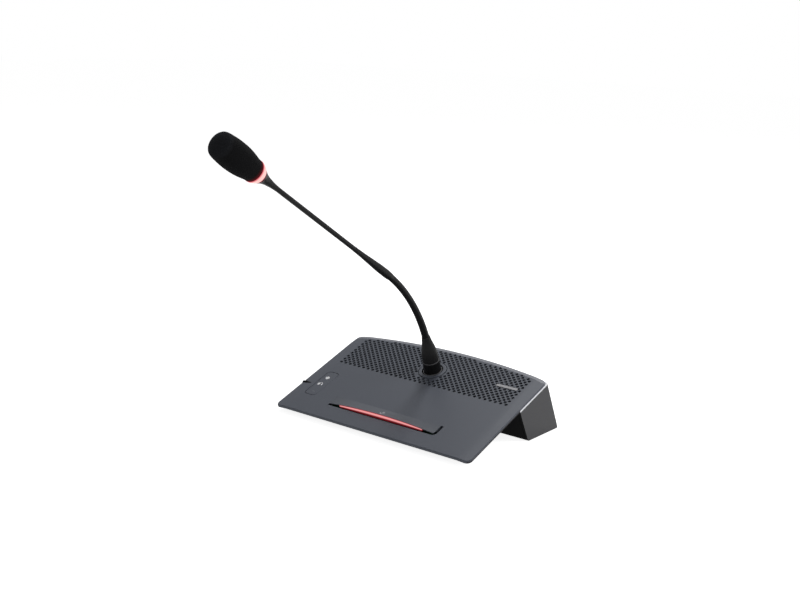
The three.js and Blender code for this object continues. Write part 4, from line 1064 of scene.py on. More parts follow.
def geometry_tree(name, inputs):
    """A geometry tree with the outputs of its group input; inputs are (name, kind, default)."""
    tree = bpy.data.node_groups.new(name, "GeometryNodeTree")
    group_socket(tree, "Geometry", "INPUT", "NodeSocketGeometry")
    identifiers = {}
    for label, kind, default in inputs:
        identifiers[label] = group_socket(tree, label, "INPUT", kind, default).identifier
    group_socket(tree, "Geometry", "OUTPUT", "NodeSocketGeometry")
    return tree, added(tree, "NodeGroupInput").outputs, identifiers


def finished_tree(tree, geometry, given):
    """Ends a tree in Realize Instances and Set Material."""
    real = added(tree, "GeometryNodeRealizeInstances", {0: geometry}).outputs[0]
    coloured = added(tree, "GeometryNodeSetMaterial", {
        "Geometry": real, "Material": given["Material"]}).outputs["Geometry"]
    added(tree, "NodeGroupOutput", {"Geometry": coloured})


def grown(obj, tree, identifiers, values):
    """Runs a geometry tree on an object and keeps the mesh that it makes."""
    modifier = obj.modifiers.new(tree.name, "NODES")
    modifier.node_group = tree
    for label, value in values.items():
        modifier[identifiers[label]] = value
    depsgraph = bpy.context.evaluated_depsgraph_get()
    depsgraph.update()
    mesh = bpy.data.meshes.new_from_object(obj.evaluated_get(depsgraph), depsgraph=depsgraph)
    if not mesh.polygons:
        raise RuntimeError(f"{tree.name} made no faces")
    name = obj.name
    data = obj.data
    bpy.data.objects.remove(obj)
    (bpy.data.curves if isinstance(data, bpy.types.Curve) else bpy.data.meshes).remove(data)
    result = bpy.data.objects.new(name, mesh)
    mesh.name = name
    bpy.context.scene.collection.objects.link(result)
    return result


def perforation_tree():
    """One rod on each point: the cutters of the perforated field."""
    tree, given, identifiers = geometry_tree("Perforations", [
        ("Radius", "NodeSocketFloat", 0.001),
        ("Depth", "NodeSocketFloat", 0.004),
        ("Sides", "NodeSocketInt", 8),
        ("Material", "NodeSocketMaterial", None),
    ])
    points = added(tree, "GeometryNodeMeshToPoints", {"Mesh": given["Geometry"]})
    rod = added(tree, "GeometryNodeMeshCylinder", {
        "Vertices": given["Sides"], "Radius": given["Radius"], "Depth": given["Depth"]})
    copies = added(tree, "GeometryNodeInstanceOnPoints", {
        "Points": points.outputs[0], "Instance": rod.outputs["Mesh"]})
    finished_tree(tree, copies.outputs["Instances"], given)
    return tree, identifiers


def perforation_cutters():
    """Rods for the staggered rows of holes, clear of the microphone's mount."""
    deck = deck_sizes()
    pitch = deck.hole_pitch
    side = deck.width / 2 - deck.grille_side
    front = deck.depth - deck.grille_length
    centre = mount_place()
    points = []
    row = 0
    s = front + pitch / 4
    while s < deck.depth + deck.bulge:
        shift = pitch / 2 * (row % 2)
        columns = int(side / pitch) + 2
        for column in range(-columns, columns + 1):
            x = column * pitch + shift
            inside = abs(x) < side
            before_rear = s < rear_edge(x) - deck.grille_rear - deck.hole_radius / 2
            clear = math.hypot(x, s - centre) > deck.mount_clearance
            if inside and before_rear and clear:
                points.append((x, s, -deck.grille_skin / 2))
        row += 1
        s += pitch / 2
    cutters = new_piece("perforation_cutters", points, [])
    tree, identifiers = perforation_tree()
    return grown(cutters, tree, identifiers, {
        "Radius": deck.hole_radius, "Depth": deck.grille_skin * 3, "Sides": 12,
        "Material": plain("shell")})


def neck_tree():
    """A ribbed tube along a curve whose points carry the tube's radius."""
    tree, given, identifiers = geometry_tree("Ribbed gooseneck", [
        ("Rib pitch", "NodeSocketFloat", 0.0013),
        ("Rib depth", "NodeSocketFloat", 0.02),
        ("Sides", "NodeSocketInt", 28),
        ("Material", "NodeSocketMaterial", None),
    ])
    steps_per_rib = 6
    step = calculated(tree, "DIVIDE", given["Rib pitch"], steps_per_rib)
    fine = added(tree, "GeometryNodeResampleCurve", {
        "Curve": given["Geometry"], "Length": step}, mode="LENGTH")
    along = added(tree, "GeometryNodeSplineParameter").outputs["Length"]
    ribs = calculated(tree, "DIVIDE", along, given["Rib pitch"])
    wave = calculated(tree, "COSINE", calculated(tree, "MULTIPLY", ribs, 2 * math.pi))
    swell = calculated(tree, "MULTIPLY_ADD", wave, given["Rib depth"], 1)
    radius = added(tree, "GeometryNodeInputRadius").outputs[0]
    section = added(tree, "GeometryNodeCurvePrimitiveCircle", {
        "Radius": 1, "Resolution": given["Sides"]})
    tube = added(tree, "GeometryNodeCurveToMesh", {
        "Fill Caps": True, "Curve": fine.outputs["Curve"],
        "Profile Curve": section.outputs["Curve"],
        "Scale": calculated(tree, "MULTIPLY", radius, swell)})
    finished_tree(tree, tube.outputs["Mesh"], given)
    return tree, identifiers


# Operators: casing


class BuildDeckPlate(bpy.types.Operator):
    """Builds the deck plate with its rolled rim, openings and perforations"""

    bl_idname = "delegate.deck_plate"
    bl_label = "Deck Plate"

    def execute(self, context):
        deck, controls, mount = deck_sizes(), control_sizes(), mount_sizes()
        below, above = -deck.thickness * 4, deck.thickness * 4
        plate = deck_plate_solid()
        pocket = prism("pocket", grille_outline(0), below, -deck.grille_skin)
        combined(pocket, "DIFFERENCE", mount_disc("land", mount.land, below * 2, above))
        opening = prism("opening", self.button_opening(controls), below, above)
        left = -deck.width / 2 + controls.rocker_side
        well = prism("well", rounded_rectangle(
            left, left + controls.rocker_width, controls.rocker_front, controls.rocker_rear,
            controls.rocker_corner), below, above)
        recess = mount_disc("recess", mount.recess, -mount.recess_depth, above)
        hole = mount_disc("hole", mount.hole, below, above)
        combined(plate, "DIFFERENCE", pocket, opening, well, recess, hole, jack_notch(),
                 perforation_cutters())
        # The second finish paints shade on the lower side edges. The third paints sheen on the rear
        # rim band.
        painted(plate, plain("shell"), plain("edge"), plain("rim"))
        self.paint_edge_shade_and_rim_sheen(plate)
        smoothed(plate, sharp_degrees=24)
        moved(plate, deck_matrix())
        placed(plate, "base", "shell_grey", "top_cover")
        return {"FINISHED"}

    def button_opening(self, controls):
        """Outline of the talk button's opening, with one well rounded corner."""
        left, right = -controls.button_left, controls.button_right
        front, rear = controls.button_front, controls.button_rear
        radius = controls.button_corner
        steps = 12
        outline = [(left, rear), (left, front)]
        for i in range(steps + 1):
            turn = -math.pi / 2 + (math.pi / 2) * i / steps
            outline.append((right - radius + radius * math.cos(turn),
                            front + radius + radius * math.sin(turn)))
        return outline + [(right, rear)]

    def paint_edge_shade_and_rim_sheen(self, plate):
        """Painted shade on the lower part along the sides, and painted sheen on a pale band along the
        rear rim.
        """
        deck = deck_sizes()
        edge, rim, wall_slope, foot = 1, 2, 0.3, 0.1 * MM
        for polygon in plate.data.polygons:
            centre, normal = polygon.center, polygon.normal
            at_side = abs(centre.x) > deck.width / 2 - deck.front_corner / 2
            low = centre.z + fold_drop(centre.x) < -deck.edge_shade_line
            in_band = centre.y > rear_edge(centre.x) - deck.rim_band
            # Painted shade: the lower part of the side edges turns dark.
            if abs(normal.z) < wall_slope and at_side and low:
                polygon.material_index = edge
            # Painted sheen: the band along the rolled rear rim takes the paler rim grey.
            elif normal.z > -wall_slope and in_band and centre.z > -deck.thickness + foot:
                polygon.material_index = rim


def jack_matrix():
    """Frame of the headphone socket: Z runs inwards from the deck's left edge."""
    controls = control_sizes()
    place = Matrix.Translation((-deck_sizes().width / 2, controls.jack_place, -controls.jack_drop))
    return place @ Matrix.Rotation(math.pi / 2, 4, "Y")


def jack_notch():
    """Cutter for the headphone socket's notch in the left edge, from outside the deck inwards."""
    mouth, tail = control_sizes().jack_radius + 0.6 * MM, 2.4 * MM
    start, end = -4 * MM, 13 * MM
    notch = turned("notch", [(0, start), (mouth, start), (tail, end), (0, end)], sides=48)
    return moved(notch, jack_matrix())


def mount_disc(name, radius, low, high, sides=96):
    """A round cutter about the microphone's mount."""
    disc = turned(name, [(0, low), (radius, low), (radius, high), (0, high)], sides)
    return moved(disc, Matrix.Translation((0, mount_place(), 0)))


class BuildDustScreen(bpy.types.Operator):
    """Stretches the acoustic cloth under the perforations"""

    bl_idname = "delegate.dust_screen"
    bl_label = "Dust Screen"

    def execute(self, context):
        deck = deck_sizes()
        gap = control_sizes().gap
        top, thickness, reach = -deck.grille_skin - gap, 0.3 * MM, 10 * MM
        cloth = prism("dust_cloth", grille_outline(gap), top - thickness, top)
        hole = mount_disc("hole", mount_sizes().land + gap, -reach, reach, sides=64)
        combined(cloth, "DIFFERENCE", hole)
        painted(cloth, slot_finish("cloth"))
        moved(cloth, deck_matrix())
        placed(cloth, "base", "cloth", "dust_screen")
        return {"FINISHED"}


def carried(name, node):
    """A new piece with the mesh of one of the solids."""
    source = frame["nodes"][node]
    mesh = source.data.copy()
    mesh.transform(source.matrix_world)
    obj = bpy.data.objects.new(name, mesh)
    bpy.context.scene.collection.objects.link(obj)
    return merged(obj)


# Rear corner of a cheek's bright trim line, whose near-white is partly a painted highlight:
# millimetres in from its side and past the deck's side depth

TRIM_CORNER = [(0, -1.3), (0.4, 0.1), (1.7, 0.6), (3.6, 0.8), (3.6, -1.2), (1.4, -2.4)]


class BuildRearHousing(bpy.types.Operator):
    """Builds the grey rear housing, whose front wall is painted black, partly as shade, with the
    bright lines along the top of its cheeks, partly a painted highlight
    """

    bl_idname = "delegate.rear_housing"
    bl_label = "Rear Housing"

    def execute(self, context):
        deck = deck_sizes()
        shell = carried("rear_shell", "rear_cover")
        painted(shell, plain("cheek"), plain("black"))
        front = deck_matrix() @ Vector((0, deck.depth - deck.housing_length, -deck.thickness))
        # Painted shade, partly the wall's own dark plastic: the front wall, in the deck's shadow,
        # takes the black finish.
        black, facing_front, tolerance = 1, -0.6, 1.5 * MM
        for polygon in shell.data.polygons:
            centre = polygon.center
            wall = front.y + (front.z - centre.z) * math.tan(deck.housing_lean)
            if polygon.normal.y < facing_front and abs(centre.y - wall) < tolerance:
                polygon.material_index = black
        smoothed(shell, sharp_degrees=24)
        placed(shell, "base", "cheek_grey", "rear_cover")
        for name, side in (("right_trim", 1), ("left_trim", -1)):
            self.cheek_trim_with_painted_highlight(name, side)
        return {"FINISHED"}

    def cheek_trim_with_painted_highlight(self, name, side):
        """The bright upper edge of one cheek, round its rear corner: a real trim whose near-white
        colour also paints a highlight.
        """
        deck = deck_sizes()
        proud, width, front_gap, bevel = 0.12 * MM, 1.4 * MM, 0.4 * MM, 0.1 * MM
        low, high = -4.1 * MM, -2.3 * MM
        edge, front = deck.width / 2 + proud, deck.depth - deck.housing_length + front_gap
        corner = [(edge - inset, deck.depth + beyond) for inset, beyond in in_mm(TRIM_CORNER)]
        outline = [(edge, front)] + corner + [(edge - width, front)]
        trim = prism(name, [(side * x, s) for x, s in outline], low, high)
        bevelled(trim, bevel)
        # The trim's near-white is partly a painted highlight along the cheek's top edge.
        painted(trim, plain("trim"))
        smoothed(trim, sharp_degrees=34)
        placed(moved(trim, deck_matrix()), "base", "silver")


# Operators: controls


def lip_height(x):
    """Height of the flap's lip at x."""
    controls = control_sizes()
    return controls.lip_rise * (1 - (x / controls.arch_half) ** 2)


def flap_front(rise):
    """Slope distance of the lip's edge."""
    controls = control_sizes()
    return controls.button_front + controls.button_slit + controls.lip_lean * rise


def flap_top(rise, s):
    """Height of the flap's top face between its lip and its hinge."""
    controls = control_sizes()
    return rise * (controls.button_rear - s) / (controls.button_rear - flap_front(rise))


class BuildTalkButton(bpy.types.Operator):
    """Builds the arched flap of the talk button, which slopes down to the deck at its rear edge"""

    bl_idname = "delegate.talk_button"
    bl_label = "Talk Button"

    def execute(self, context):
        controls = control_sizes()
        last = controls.button_right - controls.side_slit
        corner = controls.button_corner - controls.side_slit
        rings = [self.flap_section(x, last, corner) for x in self.flap_places(last, corner)]
        flap = lofted("talk_flap", rings)
        # The button grey is painted shade: a darkened copy of the shell grey.
        painted(flap, plain("button"), painted_lip_glow())
        # Paints the lens's red light onto the lip as a glow.
        self.paint_lip_glow(flap)
        smoothed(flap, sharp_degrees=30)
        moved(flap, deck_matrix())
        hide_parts("talk_button")
        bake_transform(flap)
        self.light_bar()
        return {"FINISHED"}

    def paint_lip_glow(self, flap):
        """Painted light: the lip's front edge takes a painted glow of the lens, from end to end of the
        lens.
        """
        controls = control_sizes()
        reddened, facing_front, glow_depth = 1, -0.3, 1.2 * MM
        for polygon in flap.data.polygons:
            centre = polygon.center
            lip = flap_top(lip_height(centre.x), flap_front(lip_height(centre.x)))
            beside_lens = -controls.bar_left < centre.x < controls.bar_right
            if beside_lens and polygon.normal.y < facing_front and centre.z > lip - glow_depth:
                polygon.material_index = reddened

    def flap_places(self, last, corner):
        """Places across the flap, closer together around its rounded corner."""
        first = -control_sizes().button_left + control_sizes().gap / 2
        straight = last - corner
        steps, bends = 60, 12
        places = [first + (straight - first) * i / steps for i in range(steps)]
        turns = [(math.pi / 2) * i / bends for i in range(bends + 1)]
        return places + [straight + corner * math.sin(turn) for turn in turns]

    def flap_section(self, x, last, corner):
        """One section of the flap, square to the deck's width."""
        controls = control_sizes()
        rise = lip_height(x)
        into_corner = max(0, x - (last - corner))
        front = flap_front(rise) + corner - math.sqrt(max(0, corner ** 2 - into_corner ** 2))
        ledge = controls.button_front + controls.button_slit + controls.flap_ledge
        thick, foot = controls.lip_thickness, -deck_sizes().thickness
        round_off, behind_lip, lip_dip = 0.25 * MM, 0.3 * MM, 0.05 * MM
        section = [(ledge, flap_top(rise, ledge) - thick), (ledge, foot),
                   (controls.button_rear, foot), (controls.button_rear, 0)]
        steps = 7
        for k in range(steps - 1, 0, -1):
            s = front + behind_lip + (controls.button_rear - front) * k / steps
            section.append((s, flap_top(rise, s)))
        lip = flap_top(rise, front)
        for degrees in (90, 120, 150, 180):
            turn = math.radians(degrees)
            section.append((front + round_off + round_off * math.cos(turn),
                            lip - round_off - lip_dip + round_off * math.sin(turn)))
        section.append((front, lip - thick))
        return [(x, s, n) for s, n in section]

    def light_bar(self):
        """The red lens under the lip; an attribute holds the height share of each point."""
        controls = control_sizes()
        front = controls.button_front + controls.button_slit + controls.bar_setback
        rear = front + controls.bar_depth
        low, clear = -controls.bar_foot, controls.lip_thickness + 0.05 * MM
        steps, levels = 56, 8
        rings = []
        for i in range(steps + 1):
            x = -controls.bar_left + (controls.bar_left + controls.bar_right) * i / steps
            rise = lip_height(x)
            top = flap_top(rise, front) - clear
            section = [(rear, low), (rear, flap_top(rise, rear) - clear)]
            section += [(front, top + (low - top) * k / levels) for k in range(levels + 1)]
            rings.append([(x, s, n) for s, n in section])
        lens = lofted("light_lens", rings)
        painted(lens, bar_finish())
        smoothed(lens, sharp_degrees=30)
        heights = lens.data.attributes.new(LENS_HEIGHT, "FLOAT", "POINT")
        for vertex, height in zip(lens.data.vertices, heights.data):
            top = flap_top(lip_height(vertex.co.x), front) - clear
            height.value = min(1, max(0, (vertex.co.z - low) / (top - low)))
        moved(lens, deck_matrix())
        placed(lens, "talk_button", "red_lens", "light_bar")


class BuildVolumeRocker(bpy.types.Operator):
    """Builds the volume rocker's key"""

    bl_idname = "delegate.volume_rocker"
    bl_label = "Volume Rocker"

    def execute(self, context):
        deck, controls = deck_sizes(), control_sizes()
        left = -deck.width / 2 + controls.rocker_side
        right = left + controls.rocker_width
        middle = (controls.rocker_front + controls.rocker_rear) / 2
        cap = self.key_cap(left + controls.gap, right - controls.gap,
                           controls.rocker_front + controls.rocker_end_gap,
                           controls.rocker_rear - controls.rocker_end_gap)
        side_gap, half, low, high = 1 * MM, 2.5 * MM, -5.9 * MM, -2.1 * MM
        rib = block("rib", left + side_gap, right - side_gap, middle - half, middle + half, low, high)
        radius, reach = controls.pin_bore, 20 * MM
        bore = turned("bore", [(0, -reach), (radius, -reach), (radius, reach), (0, reach)], sides=24)
        pin = Matrix.Translation(((left + right) / 2, middle, -controls.pin_depth))
        moved(bore, pin @ Matrix.Rotation(math.pi / 2, 4, "Y"))
        combined(rib, "DIFFERENCE", bore)
        key = joined("rocker_key", cap, rib)
        painted(key, plain("shell"))
        smoothed(key, sharp_degrees=40)
        moved(key, deck_matrix())
        placed(key, "volume_rocker", "shell_grey", "volume_rocker")
        return {"FINISHED"}

    def key_cap(self, x0, x1, s0, s1):
        """The key's top with its rounded edge."""
        controls = control_sizes()
        corner, edge, steps = controls.rocker_corner - controls.gap, controls.rocker_edge, 5
        section = [(0, -controls.rocker_height)]
        for i in range(steps + 1):
            turn = (math.pi / 2) * i / steps
            section.append((edge * (1 - math.cos(turn)), -edge * (1 - math.sin(turn))))
        rings = []
        for inset, level in section:
            outline = rounded_rectangle(x0 + inset, x1 - inset, s0 + inset, s1 - inset, corner - inset)
            rings.append([(x, s, level) for x, s in outline])
        return lofted("cap", rings)


# Printed marks in the deck's frame, in millimetres and degrees. A mark has bars of (x, s, width,
# depth), arcs of (x, s, radius, line width, start, end), its tint and the body that it rides on.

MARKS = {
    "plus": ([(-89.5, 53.8, 4.2, 2.2), (-89.5, 53.8, 2.2, 4.2)], [], "print_white", "volume_rocker"),
    "minus": ([(-88.0, 30.8, 2.8, 0.8)], [], "print_faint", "volume_rocker"),
    "headphone": ([(-91.2, 42.8, 2.3, 3.1), (-87.7, 42.7, 1.1, 2.2)],
                  [(-89.5, 43.3, 2.0, 0.35, 0, 180)], "print_white", "volume_rocker"),
    "microphone": ([(0, 26.6, 1.9, 3.0), (0, 22.9, 0.9, 1.2)], [(0, 25.9, 2.5, 0.8, 180, 360)],
                   "print_grey", "talk_button"),
}
INK_LEVELS = (0.01 * MM, 0.04 * MM)


class BuildMarks(bpy.types.Operator):
    """Prints the plus, minus, headphone and microphone marks"""

    bl_idname = "delegate.marks"
    bl_label = "Marks"

    def execute(self, context):
        for name, (bars, arcs, tint, body) in MARKS.items():
            pieces = [self.arc(*values) for values in arcs] + [self.bar(*values) for values in bars]
            mark = joined(f"{name}_mark", *pieces)
            painted(mark, self.ink(tint))
            if body == "talk_button":
                self.laid_on_flap(mark)
            placed(moved(mark, deck_matrix()), body, "silver")
        return {"FINISHED"}

    def ink(self, tint):
        """The finish of one of the printed tints."""
        name = tint.replace("print_", "").capitalize() + " print"
        return finish(name, getattr(colours(), tint), 0.5, mottle=0.02, specular=0.2)

    def bar(self, x, s, width, depth):
        """A thin printed bar, in millimetres."""
        return block("bar", (x - width / 2) * MM, (x + width / 2) * MM, (s - depth / 2) * MM,
                     (s + depth / 2) * MM, *INK_LEVELS)

    def arc(self, x, s, radius, width, start, end):
        """A thin printed arc, in millimetres and degrees."""
        steps = 16
        outer, inner = [], []
        for i in range(steps + 1):
            turn = math.radians(start + (end - start) * i / steps)
            for edge, points in ((radius + width / 2, outer), (radius - width / 2, inner)):
                points.append(((x + edge * math.cos(turn)) * MM, (s + edge * math.sin(turn)) * MM))
        return prism("arc", outer + inner[::-1], *INK_LEVELS)

    def laid_on_flap(self, mark):
        """Lifts a printed mark onto the flap's sloping top."""
        for vertex in mark.data.vertices:
            rise = lip_height(vertex.co.x)
            vertex.co.z += flap_top(rise, vertex.co.y)


class BuildSocketAndBadge(bpy.types.Operator):
    """Builds the headphone socket in the left edge and the blank badge"""

    bl_idname = "delegate.socket_badge"
    bl_label = "Headphone Socket and Badge"

    def execute(self, context):
        deck, controls = deck_sizes(), control_sizes()
        bore, rim, nose = controls.jack_bore, controls.jack_radius, -controls.jack_proud
        round_off, tail = 0.12 * MM, 2.0 * MM
        inner_end, outer_end = controls.jack_depth, controls.jack_length
        socket = turned("headphone_nose", [
            (0, inner_end), (bore, inner_end), (bore, nose + round_off), (bore + round_off, nose),
            (rim - round_off, nose), (rim, nose + round_off), (tail, outer_end), (0, outer_end)])
        moved(socket, jack_matrix())
        painted(socket, plain("black"))
        smoothed(socket, sharp_degrees=30)
        moved(socket, deck_matrix())
        placed(socket, "base", "black_plastic", "headphone_socket")
        right, middle = deck.width / 2 - controls.badge_side, deck.depth - controls.badge_rear
        corner, bevel = 0.5 * MM, 0.15 * MM
        badge = prism("badge_plate", rounded_rectangle(
            right - controls.badge_width, right, middle - controls.badge_depth / 2,
            middle + controls.badge_depth / 2, corner), 0, controls.badge_height)
        bevelled(badge, bevel)
        painted(badge, plain("badge"))
        smoothed(badge, sharp_degrees=34)
        moved(badge, deck_matrix())
        placed(badge, "base", "silver", "blank_badge")
        return {"FINISHED"}


def merged(obj, distance=1e-6):
    """Joins vertices that share a place."""
    mesh = bmesh.new()
    mesh.from_mesh(obj.data)
    bmesh.ops.remove_doubles(mesh, verts=mesh.verts[:], dist=distance)
    mesh.to_mesh(obj.data)
    mesh.free()
    return faced_outwards(obj)


# Operators: microphone


# Profiles around the mount: millimetres from its axis and over the deck's face

WELL, SEAT_BORE, STEM_BORE = 10.1, 8.45, 2.5
SEAT_PROFILE = [(SEAT_BORE, -2.8), (11, -2.8), (11, -1.2), (13.2, -1.2), (13.2, 0.2), (13.1, 0.4),
                (12.85, 0.5), (WELL + 0.15, 0.5), (WELL, 0.35), (WELL, -1), (SEAT_BORE, -1)]
LOWER_RING_PROFILE = [(SEAT_BORE, -0.5), (9, -0.5), (9.15, -0.35), (9.15, 0), (9, 0.2),
                      (8.75, 0.28), (SEAT_BORE, 0.28)]
COLLAR_PROFILE = [(STEM_BORE, -20), (7.9, -20), (8.15, -19.6), (8.25, 0), (8.15, 9.9), (8, 10.3),
                  (7.6, 10.5), (STEM_BORE, 10.5)]
UPPER_RING_PROFILE = [(STEM_BORE, 10.6), (7.85, 10.6), (8.1, 10.75), (8.1, 11.05), (7.9, 11.3),
                      (STEM_BORE, 11.3)]


class BuildMount(bpy.types.Operator):
    """Builds the microphone's mount in the deck and the rubber boot over it"""

    bl_idname = "delegate.mount"
    bl_label = "Microphone Mount"

    def execute(self, context):
        for name, profile, material, slot, node in (
                ("mount_seat", SEAT_PROFILE, plain("shell"), "shell_grey", "mount_ring"),
                # The seam rings' grey paints the thin reflections on their black gloss.
                ("collar_ring", LOWER_RING_PROFILE, plain("seam"), "silver", "collar_trim"),
                ("collar_sleeve", COLLAR_PROFILE, plain("collar"), "black_plastic", "mount_collar"),
                ("boot_ring", UPPER_RING_PROFILE, plain("seam"), "silver", "boot_trim")):
            piece = turned(name, in_mm(profile), sides=96)
            painted(piece, material)
            # The seat's well takes painted shade.
            if node == "mount_ring":
                self.paint_well_shade(piece)
            smoothed(piece, sharp_degrees=40)
            placed(moved(piece, mount_matrix()), "base", slot, node)
        self.boot()
        return {"FINISHED"}

    def paint_well_shade(self, seat):
        """Painted shade: black walls for the well between the seat and the collar, where shade falls.
        """
        seat.data.materials.append(plain("black"))
        black, reach = 1, (WELL + 0.1) * MM
        for polygon in seat.data.polygons:
            if math.hypot(polygon.center.x, polygon.center.y) < reach:
                polygon.material_index = black

    def boot(self):
        """The rubber boot, swept along the neck's foot."""
        mount = mount_sizes()
        start, end = mount.boot_start, mount.boot_end
        foot_round, foot_rise, lip_rise, lip_round = 0.25 * MM, 0.3 * MM, 0.25 * MM, 0.2 * MM
        steps, sides = 12, 72
        profile = smooth_profile(BOOT_SHARES, start, end, mount.boot_radius)
        low, high = profile[0][0], profile[-1][0]
        profile = ([(low - foot_round, start), (low, start + foot_rise)] + profile[1:-1]
                   + [(high, end - lip_rise), (high - lip_round, end)])
        outer = [neck_ring(run, radius, sides) for radius, run in profile]
        runs = [end - (end - start) * i / steps for i in range(steps + 1)]
        inner = [neck_ring(run, STEM_BORE * MM, sides) for run in runs]
        boot = lofted_loop("boot_skin", outer + inner)
        painted(boot, plain("rubber"))
        smoothed(boot, sharp_degrees=50)
        placed(boot, "base", "rubber", "neck_boot")


def neck_ring(run, radius, sides):
    """A ring of points around the neck's centre line."""
    centre, lean = neck_point(run), neck_lean(run)
    ring = []
    for i in range(sides):
        turn = 2 * math.pi * i / sides
        rise = radius * math.sin(turn)
        ring.append((radius * math.cos(turn), centre.y + rise * math.cos(lean),
                     centre.z + rise * math.sin(lean)))
    return ring


def lofted_loop(name, rings):
    """A closed tube through rings whose last ring joins the first."""
    sides = len(rings[0])
    points = [point for ring in rings for point in ring]
    faces = []
    for level in range(len(rings)):
        low, high = level * sides, ((level + 1) % len(rings)) * sides
        for i in range(sides):
            j = (i + 1) % sides
            faces.append((low + i, low + j, high + j, high + i))
    return faced_outwards(new_piece(name, points, faces))


class BuildGooseneck(bpy.types.Operator):
    """Builds the ribbed gooseneck in stretches, one about each joint"""

    bl_idname = "delegate.gooseneck"
    bl_label = "Gooseneck"

    def execute(self, context):
        mic = mic_sizes()
        tree, identifiers = neck_tree()
        pitch = (mic.last_joint - mic.first_joint) / mic.links
        first_bend = 3 * MM
        for index in range(mic.links + 1):
            joint = mic.first_joint + index * pitch
            low = mic.neck_start if index == 0 else joint - pitch / 2
            high = mic.last_joint + mic.neck_tail if index == mic.links else joint + pitch / 2
            curve = self.centre_line(f"neck_skin_{index + 1}", low, high)
            skin = grown(curve, tree, identifiers, {
                "Rib pitch": mic.rib_pitch, "Rib depth": mic.rib_depth, "Sides": 28,
                "Material": plain("coating")})
            faced_outwards(merged(skin))
            smoothed(skin, sharp_degrees=60, weighted=False)
            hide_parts(f"neck_link_{index}" if index else "neck_stem")
            bend_start = neck_point(low if index else joint - first_bend)
            bend_end = neck_point(min(high, joint + pitch / 2))
            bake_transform(skin)
        return {"FINISHED"}

    def centre_line(self, name, low, high):
        """A curve along the neck, each point with the neck's radius."""
        curve = bpy.data.curves.new(name, "CURVE")
        curve.dimensions = "3D"
        step = 1 * MM
        steps = max(2, round((high - low) / step))
        spline = curve.splines.new("POLY")
        spline.points.add(steps)
        for i, point in enumerate(spline.points):
            run = low + (high - low) * i / steps
            point.co = (*neck_point(run), 1)
            point.radius = neck_radius(run)
        obj = bpy.data.objects.new(name, curve)
        bpy.context.scene.collection.objects.link(obj)
        return obj


class BuildHead(bpy.types.Operator):
    """Builds the sleeve, tube, holder, light ring and windscreen of the microphone"""

    bl_idname = "delegate.head"
    bl_label = "Microphone Head"

    def execute(self, context):
        mic = mic_sizes()
        spigot, joint_gap, ring_slack, past_ring = 1.6 * MM, 0.1 * MM, 0.3 * MM, 0.4 * MM
        tip, shoulder = mic.last_joint - 2.6 * MM, mic.last_joint - 2 * MM
        foot = mic.last_joint + mic.sleeve_gap
        profile = smooth_profile(SLEEVE_SHARES, foot, mic.sleeve_end, mic.sleeve_radius)
        sleeve = turned("sleeve_skin", [(0, tip), (spigot, shoulder), (spigot, foot)]
                        + profile + [(0, mic.sleeve_end)], sides=48)
        foot = mic.sleeve_end + joint_gap
        tube = turned("tube_skin", [
            (0, foot), (mic.tube_radius, foot), (mic.tube_radius, mic.tube_end), (0, mic.tube_end)],
            sides=40)
        core, core_end = mic.core_radius, mic.ring_end + past_ring
        foot = mic.tube_end + ring_slack
        profile = smooth_profile(HOLDER_SHARES, foot, mic.holder_end, mic.holder_radius)
        holder = turned("holder_skin", [(0, foot)] + profile + [
            (core, mic.holder_end), (core, core_end), (0, core_end)])
        bore = core + ring_slack
        profile = smooth_profile(RING_SHARES, mic.ring_start, mic.ring_end, mic.ring_radius)
        light = turned("ring_skin", [(bore, mic.ring_start)] + profile + [(bore, mic.ring_end)],
                       sides=96)
        for obj, material, slot, node in (
                (sleeve, plain("coating"), "black_metal", "neck_sleeve"),
                (tube, plain("coating"), "black_metal", "upper_tube"),
                (holder, holder_with_painted_glow(), "black_plastic", "head_holder"),
                (light, ring_finish(), "ring_lens", "light_ring")):
            painted(obj, material)
            smoothed(obj, sharp_degrees=40)
            placed(moved(obj, head_matrix()), "mic_head", slot, node)
        self.windscreen()
        return {"FINISHED"}

    def windscreen(self):
        """The foam windscreen, with a slightly uneven skin."""
        mic = mic_sizes()
        bore, bore_end = mic.screen_bore, mic.screen_start + mic.screen_reach
        profile = smooth_profile(SCREEN_SHARES, mic.screen_start, mic.screen_end,
                                 mic.screen_radius, between=8)
        foam = turned("foam_windscreen", [(bore, mic.screen_start)] + profile + [
            (0, mic.screen_end), (0, bore_end), (bore, bore_end)], sides=128)
        merged(foam)
        foam.data.update()
        rise, sink, lumps = 0.06 * MM, 0.05 * MM, 900
        tip = mic.screen_end - 0.5 * MM
        for vertex in foam.data.vertices:
            outer = math.hypot(vertex.co.x, vertex.co.y) > bore + 0.5 * MM
            if outer and vertex.co.z < tip:
                vertex.co += vertex.normal * (noise.noise(vertex.co * lumps) * rise - sink)
        painted(foam, foam_with_painted_glow())
        smoothed(foam, sharp_degrees=60, weighted=False)
        placed(moved(foam, head_matrix()), "mic_head", "foam", "windscreen")


class PaintSolids(bpy.types.Operator):
    """Gives every carried-over solid the finish of its material slot"""

    bl_idname = "delegate.paint_solids"
    bl_label = "Finish of the Solids"

    def execute(self, context):
        for subpart in frame["record"]["subparts"]:
            node = frame["nodes"][subpart["node"]]
            material = slot_finish(subpart["material_slot"])
            if not node.material_slots:
                node.data.materials.append(material)
            for material_slot in node.material_slots:
                material_slot.material = material
        return {"FINISHED"}


# Stage


# Each lamp's place, target, size and power setting

LAMPS = {
    "Key lamp": ((-0.29, 0.52, 1.46), (0.1, -0.07, 0.03), 0.35, "key_power"),
    "Fill lamp": ((0.9, -1.6, 1.2), (0, -0.05, 0.05), 1.2, "fill_power"),
    "Side lamp": ((0.75, 0.25, 0.6), (0.08, -0.05, 0.05), 0.5, "side_power"),
}

